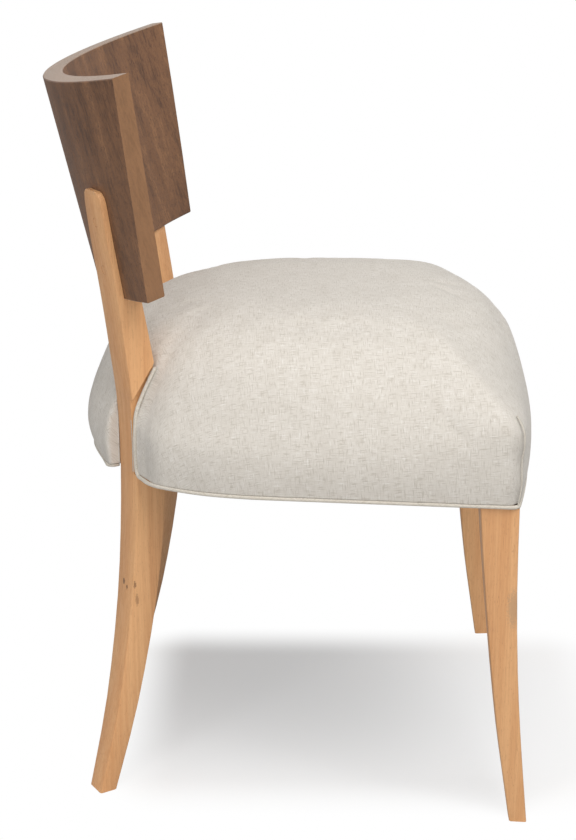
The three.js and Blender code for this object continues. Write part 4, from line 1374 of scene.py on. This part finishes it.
    def dust_cover(self) -> None:
        """The black cloth under the seat, which hangs a little: z = edge - sag (1 - s^2)^2."""
        low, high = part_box("dust_cover")
        tree = node_tree("dust_cover")
        middle = Vector((0, (low.y + high.y) / 2, (low.z + high.z) / 2))
        bearings = np.linspace(0, 2 * math.pi, 360, endpoint=False)
        hits = [tree.ray_cast(middle, Vector((math.cos(w), math.sin(w), 0)))[3] for w in bearings]
        reach = np.array(hits) - self.dust_inset
        share = np.linspace(self.dust_centre, 1, 24)[::-1]
        radius = share[:, None] * reach[None]
        fall = self.sag * (1 - share**2) ** 2
        waves = np.sin(bearings * self.dust_waves)[None]
        ripple = self.dust_ripple * waves * (share * (1 - share))[:, None] * 4
        z = middle.z - fall[:, None] + ripple
        rings = np.stack([np.cos(bearings) * radius, middle.y + np.sin(bearings) * radius, z], axis=2)
        points = np.concatenate([rings.reshape(-1, 3), [[0, middle.y, middle.z - self.sag]]])
        last = (len(share) - 1) * len(bearings)
        here = np.arange(len(bearings))
        centre = np.full(len(here), len(points) - 1)
        fan = np.stack([centre, last + here, last + (here + 1) % len(here)], axis=1)
        quads = ring_faces(len(share), len(bearings))
        piece = mesh_object("dust_sheet", points, [*quads.tolist(), *fan.tolist()])
        set_uv(piece, points[:, :2])
        thicken(piece, high.z - low.z, 0.0)
        hand_over(piece, self.backing, "backing_cloth", "dust_cover")

    def platform(self) -> None:
        """The cloth between the webbing and the foam, as the frame has it."""
        piece = merged_copy("platform_cloth", "platform_sheet")
        set_uv(piece, coordinates(piece.data)[:, :2])
        hand_over(piece, self.backing, "backing_cloth", "platform_cloth")

    def straps(self) -> None:
        """The webbing straps, each woven over and under those it crosses."""
        names = sorted(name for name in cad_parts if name.startswith("webbing"))
        runs = [[name for name in names if word in name] for word in ("lengthwise", "crosswise")]
        spots = [
            [(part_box(name)[0][axis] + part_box(name)[1][axis]) / 2 for name in run]
            for axis, run in enumerate(runs)
        ]
        for kind, run in enumerate(runs):
            for i, name in enumerate(run):
                self.strap(name, spots[1 - kind], i + kind, lengthwise=kind == 0)

    def strap(self, node: str, crossings: Sequence[float], parity: int, lengthwise: bool) -> None:
        """One strap: a flat oval section carried along a line that rises and falls at the crossings.

        Args:
            node: the frame node that the strap stands for.
            crossings: where the straps that it crosses lie along it.
            parity: 0 if it goes over the first crossing, 1 if it goes under.
            lengthwise: whether it runs along Y.
        """
        low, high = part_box(node)
        thick = self.strap_thickness
        under, over = low.z + thick / 2, high.z - thick / 2
        run, side = (1, 0) if lengthwise else (0, 1)
        start, end = low[run], high[run]
        half, middle = (high[side] - low[side]) / 2, (low[side] + high[side]) / 2
        spots, levels = [start], [under]
        order = sorted(range(len(crossings)), key=lambda k: crossings[k])
        for k in order:
            level = over if (k + parity) % 2 == 0 else under
            spots += [crossings[k] - half, crossings[k] + half]
            levels += [level, level]
        spots.append(end)
        levels.append(under)
        along = np.linspace(start + self.strap_end_gap, end - self.strap_end_gap, 160)
        height = np.interp(along, spots, levels)
        w = np.linspace(0, 2 * math.pi, 24, endpoint=False)
        oval = self.strap_oval
        across = (half - self.strap_side_gap) * np.sign(np.cos(w)) * np.abs(np.cos(w)) ** oval
        up = (thick / 2) * np.sign(np.sin(w)) * np.abs(np.sin(w)) ** oval
        flat, line = np.broadcast_arrays(middle + across[None], along[:, None])
        z = height[:, None] + up[None]
        rings = np.stack([flat, line, z] if lengthwise else [line, flat, z], axis=2)
        points, faces = capped_rings(rings)
        piece = mesh_object(node.replace("webbing", "strap"), points, faces)
        turn_outwards(piece)
        set_uv(piece, points[:, :2])
        hand_over(piece, self.webbing, "webbing", node)


# Wood and steel


def easing_group() -> bpy.types.NodeTree:
    """Geometry nodes that join loose triangles and shade smooth all but the true corners."""
    known = bpy.data.node_groups.get("ease_facets")
    if known:
        return known
    tree = bpy.data.node_groups.new("ease_facets", "GeometryNodeTree")
    tree.is_modifier = True
    tree.interface.new_socket("Geometry", in_out="INPUT", socket_type="NodeSocketGeometry")
    tree.interface.new_socket("Geometry", in_out="OUTPUT", socket_type="NodeSocketGeometry")
    graph = Graph(tree)
    given, made = graph.add("NodeGroupInput"), graph.add("NodeGroupOutput")
    joined = graph.add("GeometryNodeMergeByDistance", {"Geometry": given.outputs[0], "Distance": 1e-5})
    kind = "GeometryNodeSetShadeSmooth"
    whole = {"Geometry": joined.outputs[0], "Shade Smooth": True}
    faces = graph.add(kind, whole, domain="FACE")
    angle = graph.add("GeometryNodeInputMeshEdgeAngle").outputs["Unsigned Angle"]
    limits = {0: angle, 1: GENTLE_ANGLE}
    gentle = graph.add("FunctionNodeCompare", limits, data_type="FLOAT", operation="LESS_EQUAL")
    bends = {"Geometry": faces.outputs[0], "Shade Smooth": gentle.outputs[0]}
    edges = graph.add(kind, bends, domain="EDGE")
    graph.feed(made.inputs[0], edges.outputs[0])
    return tree


def soften(piece: bpy.types.Object) -> None:
    """Shades the facets of a curved piece as one surface."""
    modifier = piece.modifiers.new("ease_facets", "NODES")
    modifier.node_group = easing_group()


@dataclass
class Woodwork:
    """The frame nodes that stay as they are and get their finish."""

    knots: tuple[Mark, ...] = (
        Mark((-0.1418, 0.1706, 0.2248), (0.0028, 0.0028, 0.0042), 0.85, paint(92, 62, 34)),
        Mark((-0.1482, 0.1669, 0.2210), (0.0018, 0.0018, 0.0034), 0.95, paint(84, 54, 28)),
        Mark((-0.1569, 0.1577, 0.2272), (0.0020, 0.0020, 0.0052), 0.75, paint(116, 78, 46)),
        Mark((-0.1558, 0.1560, 0.2105), (0.0026, 0.0026, 0.0090), 0.6, paint(134, 92, 56)),
    )
    stain: tuple[Mark, ...] = (
        Mark((-0.2312, -0.2200, 0.2380), (0.0080, 0.0080, 0.0270), 0.5, paint(160, 134, 106)),
    )

    def build(self) -> None:
        """Dresses every wooden node and screw that is shown."""
        upright = Beech().material()
        near_rear = Beech(name="beech_near_rear_leg", marks=self.knots).material()
        near_front = Beech(name="beech_near_front_leg", marks=self.stain).material()
        sideways = Beech(name="beech_cross_rails", run=Run.SIDEWAYS).material()
        lengthwise = Beech(name="beech_side_rails", run=Run.LENGTHWISE).material()
        own = {
            "back_panel": Walnut().material(),
            "rear_leg_right": near_rear,
            "front_leg_right": near_front,
            **dict.fromkeys(("rear_leg_left", "front_leg_left"), upright),
            **dict.fromkeys(("front_rail", "rear_rail"), sideways),
            **dict.fromkeys(("side_rail_left", "side_rail_right"), lengthwise),
        }
        steel = Steel().material()
        shown = {name: node for name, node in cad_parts.items() if not node.hide_render}
        for name, node in shown.items():
            if "screw_plug" in name or "block" in name and "screw" not in name:
                finish = upright
            elif "screw" in name:
                finish = steel
            else:
                finish = own[name]
            node.data.materials.clear()
            node.data.materials.append(finish)
            soften(node)
        log.info("%d frame nodes dressed", len(shown))


# Studio


@dataclass
class Studio:
    """Floor, lamps, surroundings and the camera at the photograph's angle."""

    eye: tuple[float, float, float] = (-1.8838, -0.0281, 0.9977)
    pitch: float = 0.33008
    yaw: float = -0.017245
    focal_pixels: float = 1850.0
    image_height: int = 840
    lamp_sizes: tuple[tuple[str, tuple[float, float, float], float, float], ...] = (
        ("key_lamp", (-1.2, -0.8, 2.5), 1.8, 48.0),
        ("fill_lamp", (-2.4, 0.9, 1.2), 1.6, 22.0),
    )
    lamp_aim: float = 0.4
    sky: float = 0.5
    shadow_half: tuple[float, float] = (0.145, 0.21)
    shadow_middle: tuple[float, float] = (0.0, -0.09)
    shadow_fade: float = 0.085
    shadow_lift: float = 0.18
    floor_half: float = 30.0
    floor_colour: Colour = paint(247, 247, 247)
    floor_bounce: Colour = paint(190, 190, 190)

    def build(self) -> None:
        """Builds the studio."""
        self.camera()
        self.floor()
        self.lamps()
        self.world()
        bpy.context.scene.view_settings.view_transform = "Standard"

    def camera(self) -> None:
        """Sets the camera: it looks along (cos p cos y, -cos p sin y, -sin p)."""
        data = bpy.data.cameras.new("camera")
        data.sensor_fit = "AUTO"
        data.sensor_width = 36.0
        data.lens = data.sensor_width * self.focal_pixels / self.image_height
        data.clip_start, data.clip_end = 0.05, 100.0
        camera = add_object("camera", data)
        level = math.cos(self.pitch)
        ahead = Vector(
            (level * math.cos(self.yaw), -level * math.sin(self.yaw), -math.sin(self.pitch))
        )
        right = ahead.cross(Vector((0, 0, 1))).normalized()
        above = right.cross(ahead)
        turn = Matrix((right, above, -ahead)).transposed()
        camera.matrix_world = Matrix.Translation(self.eye) @ turn.to_4x4()
        bpy.context.scene.camera = camera

    def floor(self) -> None:
        """A wide pale floor that is pure white to the camera away from the chair."""
        corners = np.array([[-1, -1, 0], [1, -1, 0], [1, 1, 0], [-1, 1, 0]]) * self.floor_half
        floor = mesh_object("floor", corners, [[0, 1, 2, 3]])
        material = bpy.data.materials.new("floor")
        graph = emptied(material)
        place = graph.add("ShaderNodeTexCoord").outputs["Object"]
        offset = graph.vector("ABSOLUTE", graph.vector("SUBTRACT", place, (*self.shadow_middle, 0.0)))
        past = graph.vector("SUBTRACT", offset, (*self.shadow_half, 0.0))
        beyond = graph.vector("MAXIMUM", past, (0.0, 0.0, 0.0))
        far = graph.add("ShaderNodeVectorMath", {0: beyond}, operation="LENGTH").outputs["Value"]
        away = graph.between(far, 0.0, self.shadow_fade, self.shadow_lift, 1.0)
        seen = graph.add("ShaderNodeLightPath").outputs["Is Camera Ray"]
        tone = graph.blend(seen, self.floor_bounce, self.floor_colour)
        shade = graph.add("ShaderNodeBsdfDiffuse", {"Color": tone})
        white = graph.add("ShaderNodeEmission", {"Color": (1, 1, 1, 1), "Strength": 1.0})
        mix = graph.add("ShaderNodeMixShader", {0: graph.times(away, seen)})
        graph.feed(mix.inputs[1], shade.outputs[0])
        graph.feed(mix.inputs[2], white.outputs[0])
        graph.tree.links.new(mix.outputs[0], graph.add("ShaderNodeOutputMaterial").inputs[0])
        floor.data.materials.append(material)

    def lamp(self, name: str, place: tuple[float, float, float], size: float, power: float) -> None:
        """A square soft lamp that points at the seat."""
        data = bpy.data.lights.new(name, "AREA")
        data.shape = "SQUARE"
        data.size = size
        data.energy = power
        lamp = add_object(name, data)
        lamp.location = place
        lamp.rotation_mode = "QUATERNION"
        towards = Vector((0, 0, self.lamp_aim)) - Vector(place)
        lamp.rotation_quaternion = towards.to_track_quat("-Z", "Y")

    def lamps(self) -> None:
        """A large lamp above, and a softer one beside the camera."""
        for name, place, size, power in self.lamp_sizes:
            self.lamp(name, place, size, power)

    def world(self) -> None:
        """Even light all round, white to the camera and in reflections."""
        world = bpy.data.worlds.new("studio")
        graph = emptied(world)
        path = graph.add("ShaderNodeLightPath")
        seen = graph.math("MAXIMUM", path.outputs["Is Camera Ray"], path.outputs["Is Glossy Ray"])
        seen = graph.math("MAXIMUM", seen, path.outputs["Is Transmission Ray"])
        strength = graph.line(seen, 1.0 - self.sky, self.sky)
        light = graph.add("ShaderNodeBackground", {"Color": (1, 1, 1, 1), "Strength": strength})
        graph.tree.links.new(light.outputs[0], graph.add("ShaderNodeOutputWorld").inputs[0])
        bpy.context.scene.world = world


def main() -> None:
    """Builds the chair's soft pieces, dresses its frame and sets the studio."""
    logging.basicConfig(level=logging.INFO, format="%(name)s: %(message)s")
    Studio().build()
    linen = Cloth(
        name="linen",
        base=paint(213, 207, 198),
        dark=paint(176, 167, 154),
        pale=paint(230, 227, 222),
        pitch=0.0007,
        relief=0.00022,
    )
    bias = Cloth(
        name="linen_piping",
        base=paint(207, 200, 188),
        dark=paint(180, 170, 154),
        pale=paint(221, 216, 208),
        pitch=0.0007,
        relief=0.0002,
        turn=math.pi / 4,
    )
    backing = Cloth(
        name="backing_cloth",
        base=paint(52, 50, 48),
        dark=paint(30, 29, 28),
        pale=paint(70, 68, 66),
        pitch=0.0005,
        relief=0.0001,
    )
    jute = Cloth(
        name="webbing",
        base=paint(176, 146, 102),
        dark=paint(128, 98, 62),
        pale=paint(204, 178, 138),
        pitch=0.0016,
        relief=0.0005,
    )
    Upholstery(
        form=SeatForm(),
        post=Post(),
        linen=linen.material(),
        piping=bias.material(),
        foam=Foam().material(),
        backing=backing.material(),
        webbing=jute.material(),
    ).build()
    Woodwork().build()


if __name__ == "__main__":
    main()
